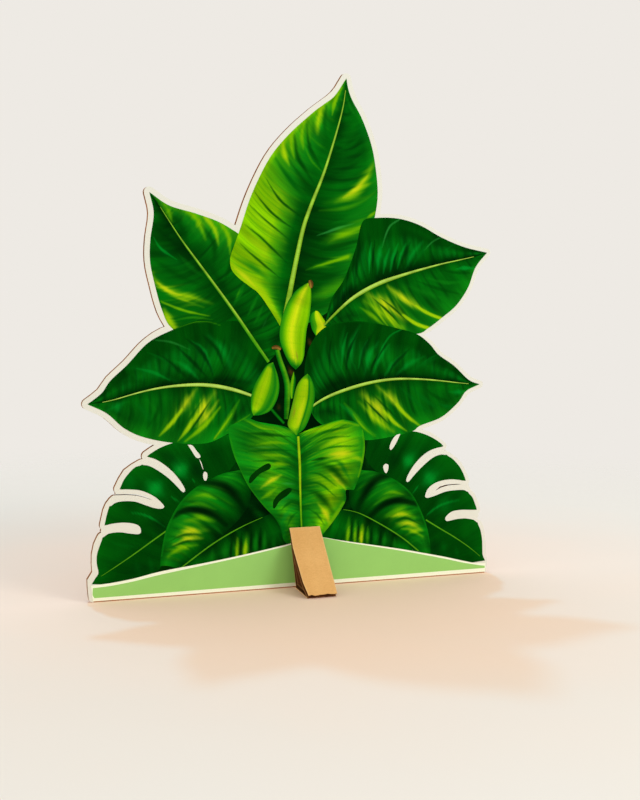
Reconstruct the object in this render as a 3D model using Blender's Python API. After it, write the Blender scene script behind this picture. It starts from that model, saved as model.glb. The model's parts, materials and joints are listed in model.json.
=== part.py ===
"""Tropical-leaf standee: a die-cut corrugated board that stands on two folded strip feet.

Metres, +Z up. The board stands in the XZ plane and faces -Y. The origin is on the table, under the
middle of the whole object. Shapes are laid out in millimetres and turned into metres as they are built.
"""
import math
from itertools import pairwise

import bmesh
import bpy
from mathutils import Vector
from mathutils.geometry import delaunay_2d_cdt

MM = 0.001

# Corrugated board: two thin liners with a wavy medium between them.
BOARD_THICKNESS = 3.0
LINER_THICKNESS = 0.3
ASSEMBLY_GAP = 0.3
MEDIUM_THICKNESS = 0.35
MEDIUM_HEIGHT = BOARD_THICKNESS - 2 * (LINER_THICKNESS + ASSEMBLY_GAP)
FLUTE_PITCH = 6.5
STEPS_PER_FLUTE = 8

# Die-cut outline: each leaf of the artwork grown by the white border, which is narrower on the right.
BORDER = 3.1
RIGHT_BORDER = 2.4
CURVE_STEP = 4.5
CORNER_ANGLE = math.radians(24)
CORNER_STEP = math.radians(22)
FLATNESS = 0.04
SHORTEST_EDGE = 0.25
SAME_POINT = 1e-6

# Folded strip foot, as a path of its outer face seen from the side: depth from the board and height.
# Its back leaves room for the tape pad and a gap on each side of it.
FOOT_TOP = 36.2
TAPE_THICKNESS = 0.3
FOOT_BACK = BOARD_THICKNESS / 2 + 2 * ASSEMBLY_GAP + TAPE_THICKNESS
TOE_DEPTH = 31.0
TOE_CLEARANCE = 0.6
FOOT_RIGHT = 11.2
FOOT_LEFT_TOE = -6.2
FOOT_LEFT_LOW = -7.6
FOOT_LEFT_HIGH = -8.5
FOOT_LEFT_TOP = -7.6
FOOT_LEFT_HEEL = -3.2
FOOT_LEFT_FLOOR_END = -5.9
FOOT_LOW_SHARE = 0.2
FOOT_HIGH_SHARE = 0.72
FOOT_COLUMNS = 24
FOLD_PASSES = 12

# Double-sided tape pad between each foot and the board.
TAPE_SIZE = (10.0, 24.0)
TAPE_CENTRE = (4.2, 17.0)

KRAFT = (0.66, 0.44, 0.22)
KRAFT_DARK = (0.50, 0.32, 0.15)
PRINT_GREEN = (0.03, 0.22, 0.02)
TAPE_CREAM = (0.80, 0.76, 0.62)

# Leaves: each one is a ring of edges, and each edge is a smooth curve through its few points.
# Where two edges meet, the leaf has a corner.
CROWN_LEAF = (
    ((26, 297.2), (19, 287), (5, 276.2), (-9, 263.6), (-20.6, 249.5), (-31, 229), (-37.8, 210), (-42, 197)),
    ((-42, 197), (0, 150), (45, 219)),
    ((45, 219), (46.5, 233), (44.5, 250), (41.5, 262), (36, 275), (30, 285), (27.5, 291), (26, 297.2)),
)
UPPER_LEFT_LEAF = (
    ((-90.1, 228.6), (-87.7, 217), (-89.6, 203), (-89.9, 191), (-87.6, 179), (-83.2, 163.5), (-77.6, 153.3)),
    ((-77.6, 153.3), (-30, 150), (-38, 206.4)),
    ((-38, 206.4), (-50, 213), (-64, 217.6), (-79, 221.6), (-90.1, 228.6)),
)
UPPER_RIGHT_LEAF = (
    ((119, 198.4), (103, 201.7), (88, 207.2), (74, 214), (60, 217.6), (45, 217.6)),
    ((45, 217.6), (20, 170), (73, 149.2)),
    ((73, 149.2), (80.5, 152.6)),
    ((80.5, 152.6), (90, 159.3), (99, 166.5), (106.5, 177), (111.5, 189.5), (119, 198.4)),
)
MIDDLE_LEFT_LEAF = (
    ((-125.3, 111.5), (-114.5, 106), (-105, 97.6), (-94, 92.2), (-77, 88.6)),
    ((-77, 88.6), (-40, 100), (-50, 156)),
    ((-50, 156), (-77, 152.4), (-91, 145.3), (-103, 133), (-112.5, 124.3), (-117.5, 117.4), (-125.3, 111.5)),
)
MIDDLE_RIGHT_LEAF = (
    ((115.5, 118), (108, 120.9), (98, 129.6), (87.5, 136.5), (81.5, 143), (73, 149)),
    ((73, 149), (30, 120), (71, 90.4)),
    ((71, 90.4), (76, 93.6), (90, 98.4), (101, 107), (106.5, 114), (115.5, 118)),
)
LEFT_SPLIT_LEAF = (
    (
        ((-77, 88.5), (-85, 85.6), (-92, 81.3)),
        ((-92, 81.3), (-82, 76), (-70.5, 62)),
        ((-70.5, 62), (-60, 76), (-77, 88.5)),
    ),
    (
        ((-95, 76.7), (-103, 71.8), (-107.8, 63.3)),
        ((-107.8, 63.3), (-95, 61.6), (-83, 53.5)),
        ((-83, 53.5), (-72, 60.2)),
        ((-72, 60.2), (-84, 71.6), (-95, 76.7)),
    ),
    (
        ((-106, 56.4), (-112.8, 54.2), (-116, 43.2)),
        ((-116, 43.2), (-104, 44.2), (-95.8, 39.5)),
        ((-95.8, 39.5), (-84, 51.2)),
        ((-84, 51.2), (-95, 54.2), (-106, 56.4)),
    ),
    (
        ((-110, 38.9), (-117.5, 36.3), (-120.6, 27), (-120.4, 17)),
        ((-120.4, 17), (-90, 14), (-97.5, 37.3)),
        ((-97.5, 37.3), (-110, 38.9)),
    ),
)
RIGHT_SPLIT_LEAF = (
    (
        ((71, 90.2), (82, 87.2), (91.5, 80.6)),
        ((91.5, 80.6), (78, 75.4), (67.5, 61)),
        ((67.5, 61), (60, 76), (71, 90.2)),
    ),
    (
        ((93, 75.6), (102, 68.6), (107.3, 58.3)),
        ((107.3, 58.3), (92, 59.4), (80, 51.5)),
        ((80, 51.5), (69, 60)),
        ((69, 60), (80, 70.4), (93, 75.6)),
    ),
    (
        ((106, 52.9), (111.5, 48.8), (115.2, 40)),
        ((115.2, 40), (102, 40.4), (93.8, 35.8)),
        ((93.8, 35.8), (82, 49.3)),
        ((82, 49.3), (93, 52.2), (106, 52.9)),
    ),
    (
        ((107, 35), (116.5, 31), (119.2, 19), (119.9, 11)),
        ((119.9, 11), (90, 12), (96, 34.1)),
        ((96, 34.1), (107, 35)),
    ),
)
# Parts of the outline that keep their own size: the base strip, the two rounded lower tips and the middle.
BASE_STRIP = (
    ((-125.6, 2.4), (-125, 0.7), (-123.4, 0)),
    ((-123.4, 0), (121, 0)),
    ((121, 0), (122.2, 0.6), (122.4, 2.2)),
    ((122.4, 2.2), (123, 5.4), (123, 8.6), (121.6, 12)),
    ((121.6, 12), (100, 26), (-100, 26), (-123.6, 17.2)),
    ((-123.6, 17.2), (-126.3, 13), (-126.1, 7.6), (-125.6, 2.4)),
)
MIDDLE_FILL = (
    (-100, 14), (-100, 35), (-117.6, 38), (-118.6, 40), (-117.6, 42.5), (-96, 44), (-84, 52.5), (-71, 61.5),
    (-69, 88), (-60, 125), (-68, 155), (-40, 199), (0, 215), (38, 208), (68, 156), (68, 147), (60, 125),
    (69, 90.2), (79, 79), (90, 80), (92.6, 78), (82, 72), (68, 61), (80, 50.5), (93, 40), (114.8, 39.5),
    (116.7, 36.5), (114.8, 33), (94, 34), (100, 12),
)
# Border that bridges the gap between two lobes of each split leaf, so that only a thin slit is left.
LEFT_BRIDGE = (
    (-109.9, 61.4), (-110.4, 60.3), (-112, 59.6), (-113.4, 58.4), (-114.9, 56.4), (-104, 57), (-95, 56),
    (-90, 54), (-86, 54.6), (-90, 59.4), (-100, 62),
)
RIGHT_BRIDGE = (
    (84.4, 53.4), (86, 50.5), (96, 52), (104, 51), (111, 52), (109.6, 55.2), (108.6, 57.6), (103, 60),
    (94, 59.4), (87, 57),
)
# Thin slits left between two lobes of each split leaf.
LEFT_SLIT = (
    ((-113, 60.6), (-104, 60.5), (-98, 59.9), (-93.3, 58.5), (-89.4, 56.2)),
    ((-89.4, 56.2), (-93.6, 57.9), (-98, 59.2), (-104, 59.9), (-113, 60)),
    ((-113, 60), (-113, 60.6)),
)
RIGHT_SLIT = (
    ((104.6, 56.3), (100, 56.9), (95, 56.9), (90, 55.8), (86.6, 53.2)),
    ((86.6, 53.2), (90.5, 55), (95.3, 56.1), (100, 56.3), (104.6, 56.3)),
)


def smooth_curve(points):
    """Points along a smooth (Catmull-Rom) curve through the given points, without the last one."""
    ends = [Vector(p) for p in points]
    if len(ends) == 2:
        return ends[:1]
    padded = [2 * ends[0] - ends[1], *ends, 2 * ends[-1] - ends[-2]]
    curve = []
    for i in range(1, len(padded) - 2):
        p0, p1, p2, p3 = padded[i - 1:i + 3]
        steps = max(1, round((p2 - p1).length / CURVE_STEP))
        for k in range(steps):
            t = k / steps
            curve.append(0.5 * (2 * p1 + (p2 - p0) * t + (2 * p0 - 5 * p1 + 4 * p2 - p3) * t ** 2
                                + (3 * p1 - p0 - 3 * p2 + p3) * t ** 3))
    return curve


def counterclockwise(points):
    """The ring, turned round where it runs clockwise."""
    area = sum(a.x * b.y - b.x * a.y for a, b in pairwise([*points, points[0]]))
    return points if area > 0 else points[::-1]


def ring(edges):
    """Closed ring of points along a shape's smooth edges."""
    return counterclockwise([p for edge in edges for p in smooth_curve(edge)])


def grown(points, distance):
    """The ring moved outward by a distance, with round outer corners."""
    result = []
    for i, here in enumerate(points):
        before = (here - points[i - 1]).normalized()
        after = (points[(i + 1) % len(points)] - here).normalized()
        turn = math.atan2(before.x * after.y - before.y * after.x, before.dot(after))
        start = math.atan2(-before.x, before.y)
        if turn > CORNER_ANGLE:
            count = math.ceil(turn / CORNER_STEP)
            result += [here + distance * Vector((math.cos(start + turn * k / count),
                                                 math.sin(start + turn * k / count)))
                       for k in range(count + 1)]
        else:
            middle = start + turn / 2
            reach = distance / math.cos(turn / 2)
            result.append(here + reach * Vector((math.cos(middle), math.sin(middle))))
    return result


def triangulated(rings, removed=(), lines=()):
    """Triangles of the area that the rings cover, without the removed rings, split along the lines."""
    points, edges, faces = [], [], []
    for loop in [*rings, *removed]:
        faces.append(list(range(len(points), len(points) + len(loop))))
        points += counterclockwise(loop)
    for line in lines:
        edges.append((len(points), len(points) + 1))
        points += [Vector(p) for p in line]
    found = delaunay_2d_cdt(points, edges, faces, 1, SAME_POINT, True)
    verts, triangles, origins = found[0], found[2], found[5]
    kept = [t for t, origin in zip(triangles, origins)
            if any(f < len(rings) for f in origin) and not any(f >= len(rings) for f in origin)]
    return verts, kept


def boundary_loops(verts, triangles):
    """Rings of points round the triangles, outer ring first."""
    following = {}
    sides = {(t[i], t[(i + 1) % 3]) for t in triangles for i in range(3)}
    for a, b in sides:
        if (b, a) not in sides:
            following[a] = b
    loops = []
    while following:
        start, here = next(iter(sorted(following.items())))
        loop = [start]
        del following[start]
        while here != start:
            loop.append(here)
            here = following.pop(here)
        loops.append([verts[i] for i in loop])
    return sorted(loops, key=len, reverse=True)


def simplified(loop):
    """The ring without points that lie on a straight line or crowd their neighbour."""
    kept = list(loop)
    changed = True
    while changed:
        changed = False
        for i in range(len(kept) - 1, -1, -1):
            before, here, after = kept[i - 1], kept[i], kept[(i + 1) % len(kept)]
            span = after - before
            off_line = abs(span.x * (here - before).y - span.y * (here - before).x) / span.length
            crowded = (here - before).length < SHORTEST_EDGE and off_line < SHORTEST_EDGE / 3
            if off_line < FLATNESS or crowded:
                del kept[i]
                changed = True
    return kept


def board_outline():
    """Outer ring and holes of the die-cut board, centred sideways, and the sideways move that did it."""
    wide_bordered = (CROWN_LEAF, UPPER_LEFT_LEAF, MIDDLE_LEFT_LEAF, *LEFT_SPLIT_LEAF)
    narrow_bordered = (UPPER_RIGHT_LEAF, MIDDLE_RIGHT_LEAF, *RIGHT_SPLIT_LEAF)
    shapes = [grown(ring(leaf), BORDER) for leaf in wide_bordered]
    shapes += [grown(ring(leaf), RIGHT_BORDER) for leaf in narrow_bordered]
    fills = (MIDDLE_FILL, LEFT_BRIDGE, RIGHT_BRIDGE)
    shapes += [ring(BASE_STRIP), *([Vector(p) for p in fill] for fill in fills)]
    verts, triangles = triangulated(shapes, [ring(LEFT_SLIT), ring(RIGHT_SLIT)])
    loops = [simplified(loop) for loop in boundary_loops(verts, triangles)]
    left, right = min(p.x for p in loops[0]), max(p.x for p in loops[0])
    move = Vector((-(left + right) / 2, 0))
    return [[p + move for p in loop] for loop in loops], move.x


def make_material(name, colour, roughness):
    """Plain paper or card with one colour."""
    material = bpy.data.materials.new(name)
    material.use_nodes = True
    shader = material.node_tree.nodes["Principled BSDF"]
    shader.inputs["Base Color"].default_value = (*colour, 1)
    shader.inputs["Roughness"].default_value = roughness
    shader.inputs["Metallic"].default_value = 0
    return material


def make_object(name, verts, faces, material):
    """Object from points in millimetres and faces, with every face pointing out."""
    mesh = bpy.data.meshes.new(name)
    mesh.from_pydata([Vector(v) * MM for v in verts], [], faces)
    work = bmesh.new()
    work.from_mesh(mesh)
    bmesh.ops.recalc_face_normals(work, faces=work.faces)
    work.to_mesh(mesh)
    work.free()
    mesh.materials.append(material)
    made = bpy.data.objects.new(name, mesh)
    bpy.context.collection.objects.link(made)
    return made


def sheet_between(name, flat, front, back, material):
    """Solid sheet over a flat triangulated area, between a front and a back depth for each x."""
    verts, triangles = flat
    count = len(verts)
    solid = [(p.x, front(p.x), p.y) for p in verts] + [(p.x, back(p.x), p.y) for p in verts]
    sides = {(t[i], t[(i + 1) % 3]) for t in triangles for i in range(3)}
    faces = [tuple(t) for t in triangles]
    faces += [tuple(i + count for i in reversed(t)) for t in triangles]
    faces += [(b, a, a + count, b + count) for a, b in sides if (b, a) not in sides]
    return make_object(name, solid, faces, material)


def flute(x):
    """Height of the medium's wave at x, from -1 to 1, straight between its steps."""
    step = FLUTE_PITCH / STEPS_PER_FLUTE
    low = math.floor(x / step + SAME_POINT)
    share = x / step - low
    first, second = (math.sin(2 * math.pi * k / STEPS_PER_FLUTE) for k in (low, low + 1))
    return first + (second - first) * share


def make_board(print_paper, kraft, kraft_dark):
    """Printed face sheet, fluted medium and back liner, all cut to one outline. Returns the sideways move."""
    loops, move = board_outline()
    outline = triangulated(loops[:1], loops[1:])
    front_face = -BOARD_THICKNESS / 2
    medium_swing = (MEDIUM_HEIGHT - MEDIUM_THICKNESS) / 2
    sheet_between("printed_face_sheet", outline, lambda x: front_face,
                  lambda x: front_face + LINER_THICKNESS, print_paper)
    sheet_between("board_back_liner", outline, lambda x: -front_face - LINER_THICKNESS,
                  lambda x: -front_face, kraft)
    left, right = min(p.x for p in loops[0]), max(p.x for p in loops[0])
    step = FLUTE_PITCH / STEPS_PER_FLUTE
    height = max(p.y for p in loops[0])
    creases = [((k * step, -1), (k * step, height + 1))
               for k in range(math.ceil(left / step), math.floor(right / step) + 1)]
    sheet_between("board_fluting", triangulated(loops[:1], loops[1:], creases),
                  lambda x: medium_swing * flute(x) - MEDIUM_THICKNESS / 2,
                  lambda x: medium_swing * flute(x) + MEDIUM_THICKNESS / 2, kraft_dark)
    return move


def foot_stations():
    """Folds and ends of the foot strip: outer-face point (depth, height), inward step, left and right x."""
    toe_outer = Vector((TOE_DEPTH, 0))
    rise = Vector((FOOT_BACK - TOE_DEPTH, FOOT_TOP))
    for _ in range(FOLD_PASSES):
        along = rise.normalized()
        inward = Vector((-along.y, along.x))
        toe_outer = Vector((TOE_DEPTH, 0)) - inward * BOARD_THICKNESS
        rise = Vector((FOOT_BACK, FOOT_TOP)) - toe_outer
    apex = Vector((FOOT_BACK, FOOT_TOP))
    down = Vector((0, -1))
    half = math.acos(max(-1, min(1, (-along).dot(down)))) / 2
    apex_step = (down - along).normalized() / math.sin(half)
    floor_end = Vector((TOE_DEPTH - TOE_CLEARANCE, 0))
    slanted = along / along.y
    return (
        (toe_outer, inward, FOOT_LEFT_TOE),
        (toe_outer + rise * FOOT_LOW_SHARE, inward, FOOT_LEFT_LOW),
        (toe_outer + rise * FOOT_HIGH_SHARE, inward, FOOT_LEFT_HIGH),
        (apex, apex_step, FOOT_LEFT_TOP),
        (Vector((FOOT_BACK, 0)), Vector((1, 1)), FOOT_LEFT_HEEL),
        (floor_end, slanted, FOOT_LEFT_FLOOR_END),
    )


def strip_layer(name, top, bottom, columns, placed, material):
    """One layer of the folded foot strip, between two depths below the strip's outer face for each x."""
    verts, rows = [], []
    for point, step, left in foot_stations():
        row = []
        for depth_at in (top, bottom):
            for k in range(columns + 1):
                x = left + (FOOT_RIGHT - left) * k / columns
                place = point + step * depth_at(x)
                row.append(len(verts))
                verts.append(placed(x, place.x, place.y))
        rows.append(row)
    width = columns + 1
    faces = []
    for one, two in pairwise(rows):
        for k in range(columns):
            faces.append((one[k], one[k + 1], two[k + 1], two[k]))
            faces.append((one[width + k + 1], one[width + k], two[width + k], two[width + k + 1]))
        faces.append((one[0], two[0], two[width], one[width]))
        faces.append((one[columns], one[width + columns], two[width + columns], two[columns]))
    for end in (rows[0], rows[-1]):
        faces += [(end[k], end[width + k], end[width + k + 1], end[k + 1]) for k in range(columns)]
    return make_object(name, verts, faces, material)


def make_foot(prefix, placed, kraft, kraft_dark):
    """Outer liner, fluted medium and inner liner of one folded foot strip."""
    medium_swing = (MEDIUM_HEIGHT - MEDIUM_THICKNESS) / 2
    middle = BOARD_THICKNESS / 2
    strip_layer(prefix + "_outer_liner", lambda x: 0, lambda x: LINER_THICKNESS, 1, placed, kraft)
    strip_layer(prefix + "_fluting", lambda x: middle + medium_swing * flute(x) - MEDIUM_THICKNESS / 2,
                lambda x: middle + medium_swing * flute(x) + MEDIUM_THICKNESS / 2,
                FOOT_COLUMNS, placed, kraft_dark)
    strip_layer(prefix + "_inner_liner", lambda x: BOARD_THICKNESS - LINER_THICKNESS,
                lambda x: BOARD_THICKNESS, 1, placed, kraft)


def make_tape(name, placed, material):
    """Tape pad that holds a foot to the board."""
    near = BOARD_THICKNESS / 2 + ASSEMBLY_GAP
    corners = [placed(TAPE_CENTRE[0] + sx * TAPE_SIZE[0] / 2, depth, TAPE_CENTRE[1] + sz * TAPE_SIZE[1] / 2)
               for depth in (near, near + TAPE_THICKNESS)
               for sx, sz in ((-1, -1), (1, -1), (1, 1), (-1, 1))]
    faces = [(0, 1, 2, 3), (7, 6, 5, 4), (0, 4, 5, 1), (1, 5, 6, 2), (2, 6, 7, 3), (3, 7, 4, 0)]
    return make_object(name, corners, faces, material)


def main():
    """Build the board and its two feet."""
    for old in list(bpy.data.objects):
        bpy.data.objects.remove(old)
    print_paper = make_material("print_paper", PRINT_GREEN, 0.35)
    kraft = make_material("kraft", KRAFT, 0.85)
    kraft_dark = make_material("kraft_dark", KRAFT_DARK, 0.9)
    tape = make_material("tape", TAPE_CREAM, 0.6)

    move = make_board(print_paper, kraft, kraft_dark)
    middle = (FOOT_LEFT_HIGH + FOOT_RIGHT) / 2

    def in_front(x, depth, height):
        return x + move, -depth, height

    def behind(x, depth, height):
        return 2 * middle - x + move, depth, height

    for prefix, placed in (("front_foot", in_front), ("rear_foot", behind)):
        make_foot(prefix, placed, kraft, kraft_dark)
        make_tape(prefix + "_tape", placed, tape)


main()
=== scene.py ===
"""The look of a tropical-leaf standee: a printed, die-cut corrugated board on two folded strip feet.

Metres, +Z up; the board faces -Y. Artwork is laid out in millimetres on the board's own drawing, whose
origin is under the middle of the foot, and every printed leaf is its own thin piece in front of the board.
"""
from __future__ import annotations

import json
import logging
import math
from dataclasses import dataclass, replace
from enum import Enum

import bmesh
import bpy
import numpy as np
from mathutils import Matrix, Vector

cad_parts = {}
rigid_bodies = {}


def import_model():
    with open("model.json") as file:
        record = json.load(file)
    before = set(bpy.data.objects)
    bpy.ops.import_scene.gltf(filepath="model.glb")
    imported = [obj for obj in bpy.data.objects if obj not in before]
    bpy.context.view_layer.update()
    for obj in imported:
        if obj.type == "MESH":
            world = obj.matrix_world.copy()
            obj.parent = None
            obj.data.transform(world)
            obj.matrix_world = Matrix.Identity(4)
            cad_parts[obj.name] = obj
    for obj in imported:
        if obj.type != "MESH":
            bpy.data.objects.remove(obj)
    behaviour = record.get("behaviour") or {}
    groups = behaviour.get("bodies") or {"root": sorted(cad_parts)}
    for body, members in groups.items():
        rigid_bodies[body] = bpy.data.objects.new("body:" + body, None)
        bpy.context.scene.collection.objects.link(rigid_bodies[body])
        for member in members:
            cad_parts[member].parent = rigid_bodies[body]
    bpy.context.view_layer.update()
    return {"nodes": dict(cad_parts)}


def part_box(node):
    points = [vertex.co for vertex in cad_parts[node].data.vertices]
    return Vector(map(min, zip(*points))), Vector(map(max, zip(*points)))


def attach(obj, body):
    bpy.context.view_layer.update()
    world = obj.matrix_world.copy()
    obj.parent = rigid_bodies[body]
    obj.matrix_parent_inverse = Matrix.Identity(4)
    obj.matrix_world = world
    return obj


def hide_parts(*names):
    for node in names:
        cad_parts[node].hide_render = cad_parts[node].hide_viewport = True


LOG = logging.getLogger("standee")
MM = 0.001
BODY = "root"
VEIN_MAP = "Veins"
PAINT = "paint"
# Attribute for the foot strip's paler edges, part wear and part painted highlight, and its painted highlight
# along the top fold.
WEAR_AND_HIGHLIGHT = "wear_and_highlight"
MAP_UNIT = 100.0
DRAWING_LEFT = -128.4
LIFT_UNIT = 0.5
FLUTE_PITCH = 6.5
NOISE_RANGE = (0.3, 0.7)

Point = tuple[float, float]
Edge = tuple[Point, ...]
Marks = tuple[tuple["Stroke", ...], ...]
Shades = tuple["float | Ink", ...]
Three = tuple[float, float, float]
Colour = tuple[int, int, int]
Array = np.ndarray
Piece = bpy.types.Object
Socket = bpy.types.NodeSocket


class Ink(Enum):
    """Printed colours, as red, green and blue from 0 to 255."""

    NIGHT = (1, 26, 4)
    INK = (2, 44, 6)
    DARK = (2, 64, 6)
    DEEP = (4, 88, 10)
    LEAF = (14, 116, 16)
    FRESH = (62, 148, 10)
    LIME = (124, 184, 4)
    BRIGHT = (158, 200, 10)
    YELLOW = (198, 210, 22)
    TEAL = (4, 140, 38)
    SEA = (2, 98, 18)
    MIST = (48, 148, 62)
    OLIVE = (104, 150, 20)
    RIB = (150, 194, 62)
    PALE_RIB = (178, 208, 96)
    BROWN = (92, 64, 24)
    TAN = (146, 114, 44)
    SOIL = (84, 52, 18)
    CREAM = (232, 229, 212)
    MEADOW = (158, 212, 112)

    def rgb(self) -> Array:
        """The colour as three numbers from 0 to 1."""
        return np.array(self.value) / 255


(NIGHT, INK, DARK, DEEP, LEAF, FRESH, LIME, BRIGHT, YELLOW, TEAL,
 SEA, MIST, OLIVE, RIB, PALE_RIB, BROWN, TAN, SOIL, CREAM, MEADOW) = Ink


class Slot(Enum):
    """The record's material slots; the new pieces pass them along, but nothing reads them."""

    PRINT = "print_paper"
    LINER = "kraft_liner"
    MEDIUM = "kraft_medium"


def path(*numbers: float) -> Edge:
    """Points of a line, from their across and up distances in turn."""
    return tuple(zip(numbers[::2], numbers[1::2]))


def linear(colour: Array) -> Array:
    """Display colour as the light it stands for."""
    return np.where(colour <= 0.04045, colour / 12.92, ((colour + 0.055) / 1.055) ** 2.4)


def smooth(points: Edge, count: int) -> Array:
    """Evenly spaced points on a smooth curve through a few points.

    Args:
        points: The points that the curve passes through.
        count: How many points to return, ends included.

    Returns:
        Array of count rows of across and up.
    """
    given = np.array(points, float)
    fine = given
    if len(given) > 2:
        padded = np.vstack([2 * given[0] - given[1], given, 2 * given[-1] - given[-2]])
        t = np.linspace(0, 1, 12, endpoint=False)[:, None]
        spans = [0.5 * (2 * b + (c - a) * t + (2 * a - 5 * b + 4 * c - d) * t ** 2
                        + (3 * b - a - 3 * c + d) * t ** 3)
                 for a, b, c, d in zip(padded, padded[1:], padded[2:], padded[3:])]
        fine = np.vstack([*spans, given[-1:]])
    run = np.concatenate([[0.0], np.cumsum(np.hypot(*np.diff(fine, axis=0).T))])
    at = np.linspace(0, run[-1], count)
    return np.stack([np.interp(at, run, fine[:, k]) for k in (0, 1)], axis=1)


def length(points: Edge) -> float:
    """Length of the smooth curve through the points."""
    return float(np.hypot(*np.diff(smooth(points, 60), axis=0).T).sum())


def grain(seed: int, across: Array, along: Array) -> Array:
    """Smooth random value from 0 to 1 at each pair of coordinates, one unit a cell."""
    wide, tall = 97, 89
    table = np.random.default_rng(seed).random((wide, tall))
    i, j = np.floor(across).astype(int), np.floor(along).astype(int)
    u, v = across - i, along - j
    u, v = u * u * (3 - 2 * u), v * v * (3 - 2 * v)

    def pick(a: Array, b: Array) -> Array:
        """Table value of a cell's corner."""
        return table[a % wide, b % tall]

    return ((pick(i, j) * (1 - u) + pick(i + 1, j) * u) * (1 - v)
            + (pick(i, j + 1) * (1 - u) + pick(i + 1, j + 1) * u) * v)


@dataclass(frozen=True)
class Grain:
    """Random value in cells of its own size, in millimetres along and across a leaf."""

    table: int
    along: float
    across: float

    def at(self, seed: int, run: Array, rise: Array) -> Array:
        """The value at each distance along and across a leaf that has its own seed."""
        return grain(seed + self.table, run / self.along, rise / self.across)


FRUIT_STREAKS = Grain(0, 22, 1.6)
LEAF_STREAKS = Grain(0, 2.2, 20)
HAIR_STREAKS = Grain(7, 1.1, 11)
BROAD_STREAKS = Grain(3, 5, 30)
VEIN_WANDER = Grain(11, 8, 18)


def ease(low: float, high: float, value: Array) -> Array:
    """Rises smoothly from 0 at low to 1 at high."""
    t = np.clip((value - low) / (high - low), 0, 1)
    return t * t * (3 - 2 * t)


@dataclass(frozen=True)
class Drawing:
    """Where the board's drawing lies in the frame."""

    shift: float
    face: float

    @classmethod
    def of_board(cls) -> Drawing:
        """The drawing that the CAD face sheet was cut to."""
        low, _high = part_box("printed_face_sheet")
        return cls(low[0] / MM - DRAWING_LEFT, low[1] / MM)

    def place(self, across: Array, up: Array, lift: float | Array) -> Array:
        """Drawing millimetres, and steps of LIFT_UNIT before the board's face, as metres in the frame."""
        depth = np.broadcast_to(self.face - lift * LIFT_UNIT, np.shape(across))
        return np.stack([across + self.shift, depth, up], axis=-1) * MM


def deselect() -> None:
    """Leave nothing selected."""
    for made in bpy.context.view_layer.objects:
        made.select_set(False)


def activate(made: Piece) -> None:
    """Select one object only and make it the active one."""
    deselect()
    made.select_set(True)
    bpy.context.view_layer.objects.active = made


def coordinates(made: Piece) -> Array:
    """Every vertex of an object as rows of x, y and z."""
    flat = np.empty(len(made.data.vertices) * 3)
    made.data.vertices.foreach_get("co", flat)
    return flat.reshape(-1, 3)


def move_vertices(made: Piece, places: Array) -> None:
    """Put every vertex of an object at its new place."""
    made.data.vertices.foreach_set("co", places.ravel())
    made.data.update()


def edit(made: Piece, *steps: tuple[str, dict]) -> None:
    """Run mesh operators on everything in an object.

    Args:
        made: The object to edit.
        steps: Operator names under bpy.ops.mesh, each with its settings.
    """
    activate(made)
    bpy.ops.object.mode_set(mode="EDIT")
    bpy.ops.mesh.select_all(action="SELECT")
    for operator, settings in steps:
        getattr(bpy.ops.mesh, operator)(**settings)
    bpy.ops.object.mode_set(mode="OBJECT")


def settle(made: Piece, kind: str, **settings: object) -> None:
    """Add a modifier with its settings and apply it.

    Args:
        made: The object that gets the modifier.
        kind: The modifier's type.
        settings: Its properties by name.
    """
    activate(made)
    modifier = made.modifiers.new(kind.lower(), kind)
    for name, value in settings.items():
        setattr(modifier, name, value)
    bpy.ops.object.modifier_apply(modifier=modifier.name)


def face_corners(mesh: bpy.types.Mesh) -> Array:
    """The vertex at every corner of a mesh's faces."""
    corners = np.empty(len(mesh.loops), int)
    mesh.loops.foreach_get("vertex_index", corners)
    return corners


def sheet_copy(name: str, node: Piece) -> Piece:
    """Copy of a flat CAD sheet whose broad sides are one face each."""
    made = bpy.data.objects.new(name, node.data.copy())
    bpy.context.collection.objects.link(made)
    made.data.name = name
    edit(made, ("remove_doubles", {"threshold": 0.001 * MM}),
         ("dissolve_limited", {"angle_limit": math.radians(1)}))
    return made


def face_viewer(made: Piece) -> None:
    """Turn a flat sheet's faces so that they look along -Y."""
    normals = np.empty(len(made.data.polygons) * 3)
    made.data.polygons.foreach_get("normal", normals)
    if normals.reshape(-1, 3)[:, 1].sum() > 0:
        edit(made, ("flip_normals", {}))


def plate(name: str, ring: Array, drawing: Drawing, lift: float, thickness: float) -> Piece:
    """Flat closed plate with the outline of a ring.

    Args:
        name: The new object's name.
        ring: Points of the outline, in drawing millimetres.
        drawing: Where the drawing lies.
        lift: Steps of LIFT_UNIT from the board's face to the plate's front.
        thickness: The plate's thickness in millimetres.

    Returns:
        The new object.
    """
    deselect()
    bpy.ops.mesh.primitive_circle_add(vertices=len(ring), radius=1, fill_type="NGON")
    made = bpy.context.active_object
    made.name = made.data.name = name
    move_vertices(made, drawing.place(ring[:, 0], ring[:, 1], lift))
    face_viewer(made)
    settle(made, "SOLIDIFY", thickness=thickness * MM, offset=-1.0)
    return made


def outline(edges: tuple[Edge, ...], step: float = 1.2) -> Array:
    """Closed ring of points along smooth edges that meet in corners."""
    parts = [smooth(edge, max(2, math.ceil(length(edge) / step)))[:-1] for edge in edges]
    return np.vstack(parts)


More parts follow.
